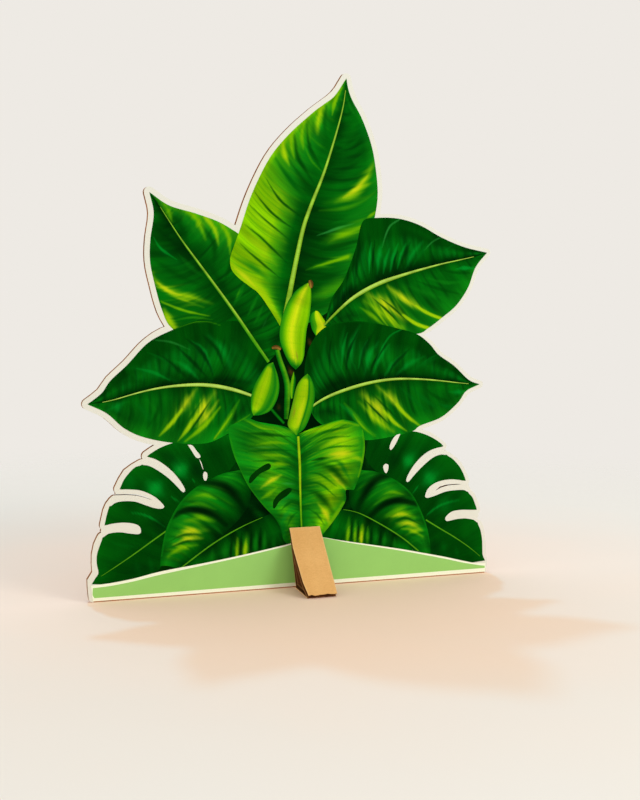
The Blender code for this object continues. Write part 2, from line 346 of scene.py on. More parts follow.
@dataclass(frozen=True)
class Stroke:
    """One brush stroke of the artwork: a soft line through a few points."""

    ink: Ink
    width: float
    line: Edge
    strength: float = 1.0
    start: float = 0.15
    end: float = 0.15
    rough: float = 0.55

    def cover(self, places: Array, streak: Array) -> Array:
        """How much of the stroke's colour each place gets.

        Args:
            places: Places on the drawing.
            streak: Random value from 0 to 1 for each place, stretched along the veins.

        Returns:
            Cover from 0 to 1 for each place.
        """
        line = smooth(self.line, max(8, int(length(self.line) / 1.5)))
        share = np.linspace(0, 1, len(line))
        near = np.full(len(places), 1e9)
        at = np.zeros(len(places))
        for k in range(len(line) - 1):
            span = line[k + 1] - line[k]
            t = np.clip(((places - line[k]) @ span) / max(span @ span, 1e-9), 0, 1)
            far = np.hypot(*(places - line[k] - t[:, None] * span).T)
            closer = far < near
            near = np.where(closer, far, near)
            at = np.where(closer, share[k] + t * (share[k + 1] - share[k]), at)
        tapered = 0.4
        taper = np.minimum(1, np.minimum(self.start + (1 - self.start) * at / tapered,
                                         self.end + (1 - self.end) * (1 - at) / tapered))
        crisp, softening = 1.6, 3
        soft = min(1.0, max(0.0, self.width - crisp) / softening)
        reach = taper + (1 - taper) * 0.4 * soft
        inside = 1 - near / ((0.74 + 0.26 * soft) * self.width * np.maximum(reach, 0.02) + 0.25)
        faded = np.minimum(1, (0.4 - 0.3 * soft) + (0.6 + 0.3 * soft) * taper)
        broken = self.rough * streak * (0.8 + 0.9 * soft)
        return self.strength * faded * ease(0, 0.95 + 0.4 * soft, inside * 1.5 - broken)


def brush(ink: Ink, *marks: tuple[float, ...], **habit: float) -> tuple[Stroke, ...]:
    """Strokes of one ink.

    Args:
        ink: Their colour.
        marks: For each stroke its width, its strength in percent, then each point's across and up.
        habit: How all of them start, end or break up, where that isn't as usual.

    Returns:
        The strokes in their order.
    """
    return tuple(Stroke(ink, width, path(*points), percent / 100, **habit)
                 for width, percent, *points in marks)


@dataclass(frozen=True)
class Veins:
    """Fine side veins printed at even steps along a leaf."""

    ink: Ink
    gap: float
    width: float
    strength: float
    start: float = 0.1
    end: float = 0.9
    phase: float = 0.0

    def cover(self, seed: int, run: Array, rise: Array, t: Array) -> Array:
        """How much of the veins' colour each place gets.

        Args:
            seed: The leaf's seed.
            run: Distance along the leaf in millimetres.
            rise: Distance from the midrib in millimetres.
            t: The same distance as a share of the leaf's half.

        Returns:
            Cover from 0 to 1 for each place.
        """
        wander = run + 2.4 * (VEIN_WANDER.at(seed, run, rise) - 0.5)
        off = np.abs((wander / self.gap + 0.5 + self.phase) % 1 - 0.5) * self.gap
        chance = grain(seed + 5, np.round(wander / self.gap) * 3.7, rise / 40)
        blur = 0.12
        shown = ease(self.start - blur, self.start + blur, t) * (1 - ease(self.end - blur, self.end + 0.1, t))
        line = np.exp(-(off / self.width * 1.6) ** 2)
        return self.strength * line * shown * (0.1 + 0.9 * ease(0.2, 0.8, chance))


@dataclass(frozen=True)
class Ground:
    """Colours of a leaf before its strokes: shares from midrib (0) to margin (1), each with its ink."""

    shades: Shades
    tip_shades: Shades = ()
    turn: tuple[float, float] = (0.4, 0.6)
    depth: float = 0.25

    def paint(self, s: Array, t: Array) -> Array:
        """Colour at each share s along and t across the leaf."""
        def across(shades: Shades) -> Array:
            """Colours between the shades' inks."""
            table = np.array([ink.rgb() for ink in shades[1::2]])
            return np.stack([np.interp(t, shades[::2], table[:, k]) for k in range(3)], axis=1)

        base = across(self.shades)
        if not self.tip_shades:
            return base
        share = ease(*self.turn, s)[:, None]
        return base * (1 - share) + across(self.tip_shades) * share


@dataclass(frozen=True)
class Blade:
    """One printed part of a leaf or fruit between two edges, ruled by its side veins."""

    name: str
    inner: Edge
    outer: Edge
    lift: float
    ground: Ground
    strokes: Marks = ()
    veins: tuple[Veins, ...] = ()
    lean: float = 1.0
    bulge: float = 0.0
    cuts: tuple[tuple[Edge, ...], ...] = ()
    step: float = 0.6
    seed: int = 1
    finish: str = "leaf"

    def across_lines(self, s: Array, t: Array) -> Array:
        """Places on the drawing for shares s along the edges and t across between them."""
        count = 400
        inner, outer = smooth(self.inner, count), smooth(self.outer, count)
        at = np.linspace(0, 1, count)
        near = np.stack([np.interp(s ** self.lean, at, inner[:, k]) for k in (0, 1)], axis=1)
        far = np.stack([np.interp(s, at, outer[:, k]) for k in (0, 1)], axis=1)
        span = far - near
        side = np.stack([span[:, 1], -span[:, 0]], axis=1)
        tip = np.array(self.inner[-1]) - np.array(self.inner[0])
        side *= np.where(side @ tip > 0, -1, 1)[:, None]
        return near + span * t[:, None] + side * (self.bulge * 4 * t * (1 - t))[:, None]

    def breadth(self) -> float:
        """Widest distance between the two edges, in millimetres."""
        s = np.linspace(0, 1, 40)
        inner, outer = (self.across_lines(s, np.full_like(s, t)) for t in (0.0, 1.0))
        return float(np.hypot(*(outer - inner).T).max())

    def build(self, drawing: Drawing, skin: float) -> Piece:
        """Model the blade as a thin closed plate.

        Args:
            drawing: Where the drawing lies.
            skin: Thickness of a printed layer in millimetres.

        Returns:
            The painted piece.
        """
        long, broad = length(self.outer), self.breadth()
        rows, columns = max(8, round(long / self.step)), max(4, round(broad / self.step / 1.25))
        deselect()
        bpy.ops.mesh.primitive_grid_add(x_subdivisions=rows, y_subdivisions=columns, size=2, calc_uvs=True)
        made = bpy.context.active_object
        made.name = made.data.name = self.name
        flat = coordinates(made)
        s, t = (flat[:, 0] + 1) / 2, (flat[:, 1] + 1) / 2
        places = self.across_lines(s, t)
        vein_map = made.data.uv_layers[0]
        vein_map.name = VEIN_MAP
        corners = face_corners(made.data)
        uv = np.stack([s[corners] * long, t[corners] * broad], axis=1) / MAP_UNIT
        vein_map.uv.foreach_set("vector", uv.ravel())
        move_vertices(made, drawing.place(places[:, 0], places[:, 1], self.lift))
        edit(made, ("remove_doubles", {"threshold": 0.02 * MM}))
        face_viewer(made)
        settle(made, "SOLIDIFY", thickness=skin * MM, offset=-1.0)
        for k, cut in enumerate(self.cuts):
            cutter = plate(f"{self.name}_cut_{k}", outline(cut), drawing, self.lift + 1, 2)
            settle(made, "BOOLEAN", operation="DIFFERENCE", solver="EXACT", object=cutter)
            bpy.data.objects.remove(cutter)
        self.paint(made, drawing, long, broad)
        return made

    def paint(self, made: Piece, drawing: Drawing, long: float, broad: float) -> None:
        """Paint the ground, veins and strokes into the piece's paint attribute.

        Args:
            made: The piece.
            drawing: Where the drawing lies.
            long: Length of the blade's outer edge in millimetres.
            broad: Its widest distance across.
        """
        mesh = made.data
        uv = np.empty(len(mesh.loops) * 2)
        mesh.uv_layers[VEIN_MAP].uv.foreach_get("vector", uv)
        where = np.zeros((len(mesh.vertices), 2))
        where[face_corners(mesh)] = uv.reshape(-1, 2) * MAP_UNIT
        run, rise = where[:, 0], where[:, 1]
        s, t = run / long, rise / broad
        places = coordinates(made)[:, (0, 2)] / MM - (drawing.shift, 0)
        if self.finish == "fruit":
            streak = FRUIT_STREAKS.at(self.seed, run, rise)
        else:
            fine = LEAF_STREAKS.at(self.seed, run, rise)
            streak = 0.6 * fine + 0.4 * HAIR_STREAKS.at(self.seed, run, rise)
        broad_streak = BROAD_STREAKS.at(self.seed, run, rise)
        colour = self.ground.paint(s, t)
        tone = 1 + self.ground.depth * ((broad_streak - 0.5) * 1.8 + (streak - 0.5) * 0.7)
        colour *= tone[:, None]
        for vein in self.veins:
            colour += (vein.ink.rgb() - colour) * vein.cover(self.seed, run, rise, t)[:, None]
        strokes = [stroke for marks in self.strokes for stroke in marks]
        for stroke in strokes:
            if stroke.ink in (LIME, BRIGHT, YELLOW) and stroke.width > 1.2:
                glow = replace(stroke, ink=FRESH, width=stroke.width * 2 + 4, strength=0.55, rough=0.9)
                colour += np.maximum(glow.ink.rgb() - colour, 0) * glow.cover(places, streak)[:, None]
        for stroke in strokes:
            colour += (stroke.ink.rgb() - colour) * stroke.cover(places, streak)[:, None]
        store(mesh, linear(np.clip(colour, 0, 1)))


def store(mesh: bpy.types.Mesh, colour: Array) -> None:
    """Keep one colour for each vertex in the mesh's paint attribute."""
    attribute = mesh.color_attributes.new(PAINT, "FLOAT_COLOR", "POINT")
    full = np.ones((len(colour), 4))
    full[:, :3] = colour
    attribute.data.foreach_set("color", full.ravel())


def ribbon(name: str, line: Edge, widths: tuple[float, ...], lift: float, ground: Ground,
           strokes: Marks = ()) -> Blade:
    """Blade for a midrib or stalk: a centre line with a width that changes along it.

    Args:
        name: The piece's name.
        line: Its centre line.
        widths: Widths at even steps along the line, in millimetres.
        lift: Steps of LIFT_UNIT in front of the board's face.
        ground: Its colours from one side to the other.
        strokes: Strokes over the ground.

    Returns:
        The blade.
    """
    count = max(8, 2 * len(line))
    middle = smooth(line, count)
    along = np.gradient(middle, axis=0)
    along /= np.hypot(*along.T)[:, None]
    side = np.stack([-along[:, 1], along[:, 0]], axis=1)
    half = np.interp(np.linspace(0, 1, count), np.linspace(0, 1, len(widths)), widths)[:, None] / 2
    edges = [tuple(map(tuple, middle + sign * side * half)) for sign in (1, -1)]
    return Blade(name, edges[0], edges[1], lift, ground, strokes, step=0.45)


RIB_GROUND = Ground((0, OLIVE, 0.3, RIB, 0.6, RIB, 1, OLIVE), depth=0.1)
PALE_RIB_GROUND = Ground((0, RIB, 0.4, PALE_RIB, 1, OLIVE), depth=0.1)
THIN_RIB_GROUND = Ground((0, LEAF, 0.5, OLIVE, 1, LEAF), depth=0.1)
CLEAR_GROUND = Ground((0, DARK, 0.2, DEEP, 0.7, DEEP, 1, LEAF), depth=0.26)
DIM_GROUND = Ground((0, NIGHT, 0.14, DARK, 0.42, DEEP, 0.7, DARK, 1, DARK), depth=0.24)
MOTTLED_GROUND = Ground((0, INK, 0.2, DARK, 0.5, DEEP, 1, DARK), depth=0.4)
DARK_VEINS = Veins(INK, 6.1, 1.5, 0.5, 0.05, 0.75)
FINE_VEINS = Veins(LEAF, 3.7, 1.1, 0.2, 0.15, 0.9)
SEA_VEINS = Veins(TEAL, 5.4, 3.6, 0.35, 0.25, 0.66, 0.5)

CROWN_MIDRIB = path(-11, 158, -8.3, 171, -3.8, 193, 0.7, 212.3, 7, 229, 12.3, 241.7, 18.7, 261, 23.8, 279,
                    25.7, 290.5, 26.1, 297.2)
CROWN = (
    Blade("crown_leaf_left", CROWN_MIDRIB,
        path(-13.5, 154, -16, 158, -20, 164, -25, 171, -30, 176, -35, 179, -40, 183, -43, 187, -43.6, 193,
             -41.3, 200, -37.6, 210, -31, 229, -20.6, 249.5, -9, 263.6, 5, 276.2, 12, 281.6, 19, 287,
             26, 297.2), 0.16,
        Ground((0, DARK, 0.16, DEEP, 0.34, FRESH, 0.5, LIME, 1, LIME),
               (0, DEEP, 0.2, DEEP, 0.5, LEAF, 0.9, FRESH, 1, LIME), (0.52, 0.66), 0.2),
        (brush(DEEP, (10, 70, -17, 183, -15, 172, -13.5, 162)),
         brush(LEAF, (4.5, 75, -39, 193, -31, 188.5, -20, 180)),
         brush(BRIGHT, (6, 100, -42.5, 189, -36, 182.5, -29, 177.2, -22, 168.5, -15, 158), start=0.5,
               end=0.1, rough=0.2), brush(YELLOW, (2.6, 70, -41, 187.2, -34, 181.6, -28, 176)),
         brush(BRIGHT, (6, 60, -38, 207, -27, 200, -16, 189), (7, 55, -32, 222, -20, 212, -11, 203),
               (7, 50, -24, 238, -14, 228, -6, 218)),
         brush(DARK, (1.5, 85, -22.4, 238, -13.4, 226, 0.7, 216),
               (1.5, 85, -29.5, 230.5, -18.5, 218.7, -4, 209), (1.3, 70, -32, 223, -21, 213.5, -7, 203),
               (1.5, 80, -35, 212, -25, 204.5, -9, 190), (1.4, 75, -37.7, 201, -28.8, 193.5, -14, 182)),
         brush(DEEP, (3, 90, -17, 250, -7, 237, 5, 225), start=0.5),
         brush(DARK, (4, 90, -10, 251, -2, 241, 8, 230), (3.2, 90, -5.7, 263.5, -3, 250.7, 7, 236),
               (3, 80, 2, 270, 4, 257, 11, 245)), brush(DEEP, (3.4, 80, 14, 281, 13, 268, 17, 257)),
         brush(BRIGHT, (3.6, 100, -12.5, 259.5, -11.5, 253, -8.5, 246), start=0.7, end=0.1, rough=0.4),
         brush(LIME, (3.4, 90, -7, 265.5, -7.6, 259, -5.5, 250), (3, 75, 0.5, 271.5, -1, 264, 0, 256),
               start=0.6),
         brush(BRIGHT, (4.2, 100, 11, 279.8, 9, 273, 8.6, 265), start=0.7, end=0.1, rough=0.4),
         brush(FRESH, (3.5, 80, 5.5, 275.5, 3.5, 268, 4, 260), start=0.6),
         brush(LIME, (2.6, 90, 23, 292, 19, 283, 17.5, 276), start=0.6),
         brush(FRESH, (1.2, 60, 0.5, 258, 5, 249.5, 12, 243))),
        (Veins(FRESH, 5.6, 1.1, 0.4, 0.2, 0.95), Veins(LEAF, 2.4, 0.5, 0.35, 0.3, 0.98)), lean=1.45,
        bulge=0.09, seed=3),
    Blade("crown_leaf_right", CROWN_MIDRIB,
        path(0, 154, 18, 164, 30, 180, 40, 200, 45, 219, 46.5, 233, 44.5, 250, 41.5, 262, 36, 275, 30, 285,
             27.5, 291, 26.2, 297.2), 0.16,
        Ground((0, INK, 0.25, DARK, 0.5, DEEP, 0.85, LEAF, 1, LEAF),
               (0, DARK, 0.3, DEEP, 0.8, DEEP, 1, LEAF), (0.5, 0.66), 0.24),
        (brush(FRESH, (7, 60, 13.5, 225, 28, 229.5, 37, 236, 43, 245)),
         brush(BRIGHT, (6.4, 100, 20, 226, 29, 230.5, 37.5, 238, 44.5, 251), start=0.05, end=0.1, rough=0.5),
         brush(YELLOW, (3.2, 90, 25, 229, 33, 234.4, 40, 242)), brush(DEEP, (0.9, 70, 24, 231, 31, 235.5)),
         brush(FRESH, (3.6, 75, 10, 221, 24, 222.5, 37, 227, 45, 233)),
         brush(LEAF, (4, 90, 18.7, 214, 34, 219, 45.6, 226), start=0.1, end=0.8),
         brush(LIME, (2.2, 70, 40, 217.5, 45, 221), start=0.2, end=0.8),
         brush(MIST, (1.4, 75, 8.4, 206.5, 23.8, 211.8, 32, 214)),
         brush(FRESH, (8, 80, 12, 203, 24, 207.5, 37, 213), start=0.1, end=0.9),
         brush(LIME, (4.5, 85, 16, 203, 27, 208, 37, 212), start=0.1, end=1),
         brush(DARK, (3, 80, 8, 197, 20, 200.5, 34, 204), start=0.2, end=0.8),
         brush(FRESH, (3.4, 90, 2, 186.6, 13.5, 190.5, 29, 195), start=0.05, end=1),
         brush(LIME, (1.8, 80, 7, 188.5, 16, 191, 28, 194.6), start=0.1, end=1),
         brush(DARK, (4, 80, 2, 181, 14, 183, 26, 186)),
         brush(FRESH, (8, 85, 7, 171, 15, 174, 24, 177.5), start=0.3, end=1, rough=0.3),
         brush(DEEP, (3, 80, 6, 164.5, 14, 168, 20, 172), start=0.3, end=0.8),
         brush(SEA, (8, 70, 34, 272, 41, 261)), brush(INK, (8, 60, 15, 240, 27, 247, 38, 257)),
         brush(DEEP, (2.4, 80, 20, 255, 30, 260, 38, 268), (2.2, 70, 17, 246, 30, 249, 42, 258)),
         brush(LEAF, (2.4, 60, 26, 288, 29, 281, 34, 274))), (DARK_VEINS, FINE_VEINS), lean=1.3, bulge=0.09,
        seed=5),
    ribbon("crown_leaf_midrib", CROWN_MIDRIB[:-1], (3, 2.9, 2.5, 2.1, 1.5, 1, 0.4), 0.2, RIB_GROUND,
        (brush(OLIVE, (3.5, 50, -11, 158, -9, 168, -6, 182), start=1),)),
)

UPPER_LEFT_MIDRIB = path(-20.6, 133.5, -30, 146.5, -40, 160.6, -50, 174, -60, 187, -70, 200, -75, 207,
                         -84, 220.5, -90, 228.6)
UPPER_LEFT = (
    Blade("upper_left_leaf_right", UPPER_LEFT_MIDRIB,
        path(-20, 134, -10, 146, -8, 165, -20, 190, -30, 202, -38, 206.4, -50, 213, -64, 217.6, -79, 221.6,
             -90.1, 228.6), 0.1,
        Ground((0, DARK, 0.3, DEEP, 1, DEEP), (0, DARK, 0.3, DEEP, 0.7, LEAF, 1, FRESH), (0.4, 0.6), 0.24),
        (brush(FRESH, (7, 95, -86, 226.5, -80.5, 220.5, -77.5, 213), start=0.5),
         brush(LIME, (3, 60, -82, 223, -79, 218, -77.5, 213)),
         brush(LEAF, (5, 80, -72, 220, -65, 212, -61, 202), start=0.6),
         brush(LIME, (4, 90, -70, 220, -62.5, 213.5, -58, 203), start=0.8),
         brush(BRIGHT, (3.2, 90, -58.5, 216, -52.8, 209, -50.6, 200), start=0.8),
         brush(LIME, (3, 85, -49, 212.4, -44.6, 205, -43.6, 195), start=0.8),
         brush(DARK, (4.5, 85, -78, 217, -73, 211, -67, 197), (4, 85, -60, 211, -53, 200, -53.5, 187),
               (3.2, 80, -42, 199, -43, 190, -47, 180)), brush(INK, (5, 50, -58, 192, -48, 177, -40, 166)),
         brush(LEAF, (3.2, 75, -41.5, 166, -38, 173, -34.5, 180),
               (2.4, 75, -33, 160.5, -30, 166, -26.5, 173)), brush(FRESH, (0.9, 50, -40, 170, -37.5, 176)),
         brush(LEAF, (2.2, 60, -29.5, 155, -26.5, 160.5, -23.5, 167)),
         brush(MIST, (0.7, 40, -24.5, 153, -21, 160)),
         brush(INK, (5, 75, -27, 152, -20, 160, -14, 168), (9, 90, -20, 138, -15, 146, -12, 156))),
        (DARK_VEINS, FINE_VEINS), lean=1.2, bulge=0.07, seed=9),
    Blade("upper_left_leaf_left", UPPER_LEFT_MIDRIB,
        path(-20.8, 133, -40, 138, -62, 144, -77.6, 153.3, -83.2, 163.5, -87.6, 179, -89.9, 191, -89.6, 203,
             -87.7, 217, -90.1, 228.6), 0.1,
        Ground((0, DARK, 0.35, DEEP, 1, DEEP), (0, INK, 0.4, DARK, 1, DEEP), (0.6, 0.8), 0.3),
        (brush(SEA, (10, 55, -86, 199, -78, 192, -68, 187)),
         brush(TEAL, (1.5, 75, -88, 204, -83.7, 197.6, -74.5, 191.5)),
         brush(INK, (4.5, 70, -88, 211, -75, 200, -64, 193)),
         brush(DARK, (4.5, 80, -88, 192, -76, 184, -60, 177)),
         brush(BRIGHT, (5, 100, -89, 183, -84, 176.5, -77, 173.2, -66, 170.6, -54, 167), start=0.5,
               end=0.05, rough=0.5), brush(YELLOW, (2.8, 90, -86, 179, -79.5, 174, -72, 171.5)),
         brush(BRIGHT, (4, 80, -84, 176, -71, 169, -59, 165), start=0.1, end=0.1, rough=0.8),
         brush(DEEP, (1.6, 60, -80, 171, -70, 167.5, -62, 166.6)),
         brush(LIME, (1.5, 80, -83.5, 168, -71, 163.3, -56, 160), start=0.6),
         brush(FRESH, (1.3, 50, -77, 157.5, -66, 159.3, -54, 158)),
         brush(BRIGHT, (4.2, 95, -82, 163.5, -79.5, 158, -76, 153), start=0.5, end=0.8, rough=0.3),
         brush(LEAF, (3, 40, -74, 195, -66, 187, -59, 182))), (DARK_VEINS, FINE_VEINS), lean=1.3,
        bulge=0.08, seed=13),
    ribbon("upper_left_leaf_midrib", UPPER_LEFT_MIDRIB[:-1], (1.7, 1.9, 1.8, 1.6, 1.3, 0.8, 0.35), 0.3,
        Ground((0, LEAF, 0.35, OLIVE, 0.75, RIB, 1, OLIVE), depth=0.1),
        (brush(FRESH, (2.6, 70, -20.6, 133.5, -30, 146.5, -38, 157.5), start=1, end=0.3),)),
)

UPPER_RIGHT_MIDRIB = path(13.5, 154.5, 20, 161, 30, 169.5, 40, 175.5, 50, 180, 60, 183.3, 70, 186.3,
                          80, 189, 90, 191.5, 100, 193.6, 110, 195.8, 118.6, 198.2)
UPPER_RIGHT = (
    Blade("upper_right_leaf_top", UPPER_RIGHT_MIDRIB,
        path(14, 156, 18, 170, 26, 182, 33, 200, 37, 215, 45, 217.6, 60, 217.6, 74, 214, 88, 207.2,
             103, 201.7, 119, 198.4), 0.24,
        Ground((0, NIGHT, 0.2, DARK, 0.46, DEEP, 0.72, DARK, 1, DARK), depth=0.24),
        (brush(INK, (3.5, 90, 34.8, 206, 34, 195, 33, 180)),
         brush(SEA, (3.2, 90, 39.6, 204, 38.3, 196, 37.5, 186)),
         brush(TEAL, (2, 90, 42.8, 203, 41.8, 195, 41.6, 185)),
         brush(INK, (1.2, 80, 45, 205, 44, 195, 43.6, 184)),
         brush(TEAL, (4, 95, 50, 203.5, 47.6, 195, 46.8, 185), (2.6, 80, 54.6, 200, 52, 193, 50.6, 185),
               (2.8, 90, 60, 203, 56.8, 195, 55, 186)), brush(INK, (1.4, 80, 60, 199, 57.8, 193, 57, 187)),
         brush(TEAL, (2.6, 80, 65, 203, 61.8, 196, 59.6, 188)),
         brush(INK, (3.2, 80, 68, 204, 64, 196, 61, 188)),
         brush(TEAL, (4.4, 90, 76, 204.5, 69.5, 197, 65, 188.5)),
         brush(SEA, (3.4, 70, 82, 204, 75, 197.5, 70, 190.5)),
         brush(MIST, (1, 65, 60.4, 217, 55, 213.5, 52, 208, 49.6, 200),
               (0.9, 50, 88, 207.2, 82.3, 204.3, 77, 199), start=0.8),
         brush(SEA, (1.2, 60, 97, 203.5, 92, 200, 88, 196)),
         brush(NIGHT, (9, 90, 17, 160, 26, 171, 36, 179)), brush(DEEP, (6, 50, 60, 214, 74, 210, 88, 203))),
        (DARK_VEINS, SEA_VEINS), lean=1.15, bulge=0.06, seed=17),
    Blade("upper_right_leaf_bottom", UPPER_RIGHT_MIDRIB,
        path(14, 154, 30, 150, 50, 148, 73, 149.2, 80.5, 152.6, 90, 159.3, 99, 166.5, 106.5, 177,
             111.5, 189.5, 119, 198.4), 0.24, Ground((0, DARK, 0.2, DEEP, 0.6, DEEP, 1, LEAF), depth=0.26),
        (brush(LEAF, (9, 60, 52, 176, 68, 166, 84, 157)),
         brush(YELLOW, (5, 100, 53.4, 177.4, 62.5, 171.5, 71, 166.2, 80, 161.6), start=0.3, end=0.1,
               rough=0.5),
         brush(BRIGHT, (1.6, 100, 72, 166, 80, 161.6, 88.8, 158.4), start=0.6, end=1, rough=0.1),
         brush(YELLOW, (9.4, 100, 42, 172, 50.6, 168, 58, 162.6, 65.6, 157.6), start=0.3, end=0.3,
               rough=0.65),
         brush(BRIGHT, (1.8, 100, 64, 160.4, 72, 155.4, 80.6, 152.6), start=0.7, end=1, rough=0.1),
         brush(BRIGHT, (6.4, 95, 39, 168.8, 48, 163, 55.6, 157.4, 62.5, 152.4), start=0.3, end=0.7,
               rough=0.6), brush(LIME, (3, 70, 36, 165, 44, 160, 52, 154)),
         brush(DARK, (1.1, 85, 44, 170.6, 54, 162.6, 62, 154.6), (1.1, 80, 49, 170.6, 58, 164.2, 67, 156.4)),
         brush(DEEP, (2.6, 80, 60, 170, 69, 163, 77, 156)),
         brush(LEAF, (4.4, 70, 66, 178, 80, 173.5, 94, 169)),
         brush(DARK, (2.2, 60, 72, 181, 86, 176.5, 102, 173)),
         brush(LEAF, (2.4, 60, 78, 183, 92, 180, 107, 181)),
         brush(TEAL, (2.6, 90, 98, 188.2, 104, 189, 111.4, 188.8)),
         brush(DARK, (2, 60, 88, 187.4, 100, 186, 110, 186)),
         brush(INK, (9, 80, 17, 155.5, 28, 160, 38, 160))), (DARK_VEINS, FINE_VEINS), lean=1.2, bulge=0.05,
        seed=19),
    ribbon("upper_right_leaf_midrib", UPPER_RIGHT_MIDRIB[:-1], (1, 1.6, 2.3, 2.3, 1.6, 1.1, 0.7, 0.35), 0.3,
        PALE_RIB_GROUND, (brush(OLIVE, (3, 70, 13.5, 154.5, 20, 161, 26, 166.5), start=1, end=0.2),)),
)

MIDDLE_LEFT_MIDRIB = path(-29, 113.6, -40, 117.4, -50, 119.8, -60, 121, -70, 121, -80, 120.3, -90, 118.8,
                          -100, 116.5, -110, 113.8, -117, 112.4, -125.1, 111.5)
MIDDLE_LEFT = (
    Blade("middle_left_leaf_top", MIDDLE_LEFT_MIDRIB,
        path(-28, 114, -19, 124, -20.5, 133.5, -30, 146, -38, 156.6, -50, 156.4, -60, 157.2, -66, 156.4,
             -77, 152.4, -91, 145.3, -103, 133, -112.5, 124.3, -117.5, 117.4, -125.3, 111.5), 0.26,
        DIM_GROUND,
        (brush(NIGHT, (6, 70, -31, 121.5, -45, 123.5, -58, 124.5)),
         brush(SEA, (5, 85, -104, 131.4, -93.5, 130, -83, 126, -74, 122.8)),
         brush(TEAL, (2, 60, -98, 131, -88, 128.4, -79, 124)),
         brush(SEA, (7, 90, -79, 139, -70, 135, -62, 127)),
         brush(TEAL, (3.6, 80, -75, 134.6, -68.5, 130.6, -62.3, 124.5),
               (3.4, 85, -66, 146, -59, 139.5, -54, 128), (6.5, 80, -57, 149.5, -49, 142, -43, 130)),
         brush(SEA, (8, 50, -46, 148, -38, 138, -33, 128)),
         brush(INK, (2.6, 90, -70, 147.6, -61.4, 141, -55.4, 131, -53.4, 124.5),
               (2.8, 75, -60, 149.5, -51.5, 141, -47, 130), (2.6, 80, -75, 143, -65.8, 134.4, -57, 125),
               (3, 75, -84, 138, -76, 131.6, -68, 124.4)),
         brush(MIST, (1, 45, -87, 146.6, -78, 145.4, -67, 141), start=0.6),
         brush(FRESH, (1.1, 75, -76, 153.2, -66, 156.6, -57, 157, -49, 154.6), start=0.5),
         brush(SEA, (1.4, 50, -92, 140, -84, 136.5, -76, 131)),
         brush(DARK, (6, 70, -112, 121, -102, 124, -92, 122.5)),
         brush(DEEP, (14, 40, -48, 152, -38, 146, -28, 134))), (DARK_VEINS, SEA_VEINS), lean=1.3,
        bulge=0.08, seed=23),
    Blade("middle_left_leaf_bottom", MIDDLE_LEFT_MIDRIB,
        path(-28.6, 112.6, -29, 104, -36, 97, -46, 92, -58, 87.5, -77, 88.4, -94, 92.2, -105, 97.6,
             -114.5, 106, -125.3, 111.5), 0.26, CLEAR_GROUND,
        (brush(LEAF, (7, 60, -62, 117, -72, 104, -82, 93)),
         brush(YELLOW, (5.6, 100, -63.5, 118.8, -69.5, 111, -77, 100), start=0.2, end=0.2, rough=0.6),
         brush(BRIGHT, (2.4, 90, -72, 107, -78.5, 99, -85, 92.6), start=0.8, end=0.2, rough=0.4),
         brush(YELLOW, (9, 100, -53, 116.4, -59.5, 107.6, -66.6, 98), start=0.3, end=0.3, rough=0.65),
         brush(BRIGHT, (2.4, 90, -63, 104, -69, 95.6, -74, 89.6), start=0.8, end=0.2, rough=0.4),
         brush(YELLOW, (4.2, 90, -50.6, 112, -57, 103.4, -63, 97), start=0.2, end=0.2, rough=0.6),
         brush(LIME, (2.6, 95, -49.6, 108, -57, 99.4, -63.4, 94, -70, 89), start=0.3, end=0.4, rough=0.4),
         brush(DARK, (1.2, 80, -55.6, 111.4, -62.6, 101, -69, 92.6)),
         brush(DEEP, (1.2, 70, -59, 114, -66, 104, -73, 95)),
         brush(FRESH, (3, 95, -38, 112, -44.6, 101, -52.4, 90), start=0.1, end=0.6, rough=0.3),
         brush(LIME, (1.1, 80, -42.5, 104, -47, 97.6, -53, 90), start=0.3, end=0.7),
         brush(SEA, (3, 60, -40.5, 113, -46, 104, -50, 97)),
         brush(FRESH, (1.8, 90, -31.6, 103.4, -38.5, 98.8, -45.6, 94.4)),
         brush(TEAL, (5.4, 75, -115.6, 107.2, -110.5, 109.4, -104, 112.4)),
         brush(SEA, (3.2, 55, -100, 113, -93, 106, -89, 98)),
         brush(LEAF, (3.4, 50, -92, 113.6, -86, 105, -86, 97)),
         brush(DARK, (3, 60, -84, 116, -86, 106, -92, 97), (2.4, 50, -103, 112, -100, 105, -100, 100)),
         brush(NIGHT, (7, 50, -33, 111, -38, 104, -42, 100))), (DARK_VEINS, FINE_VEINS), lean=1.2,
        bulge=0.05, seed=29),
    ribbon("middle_left_leaf_midrib", MIDDLE_LEFT_MIDRIB[:-1], (1.5, 2, 2.1, 1.8, 1.3, 0.9, 0.6, 0.3), 0.3,
        Ground((0, OLIVE, 0.35, PALE_RIB, 0.7, PALE_RIB, 1, RIB), depth=0.08)),
)

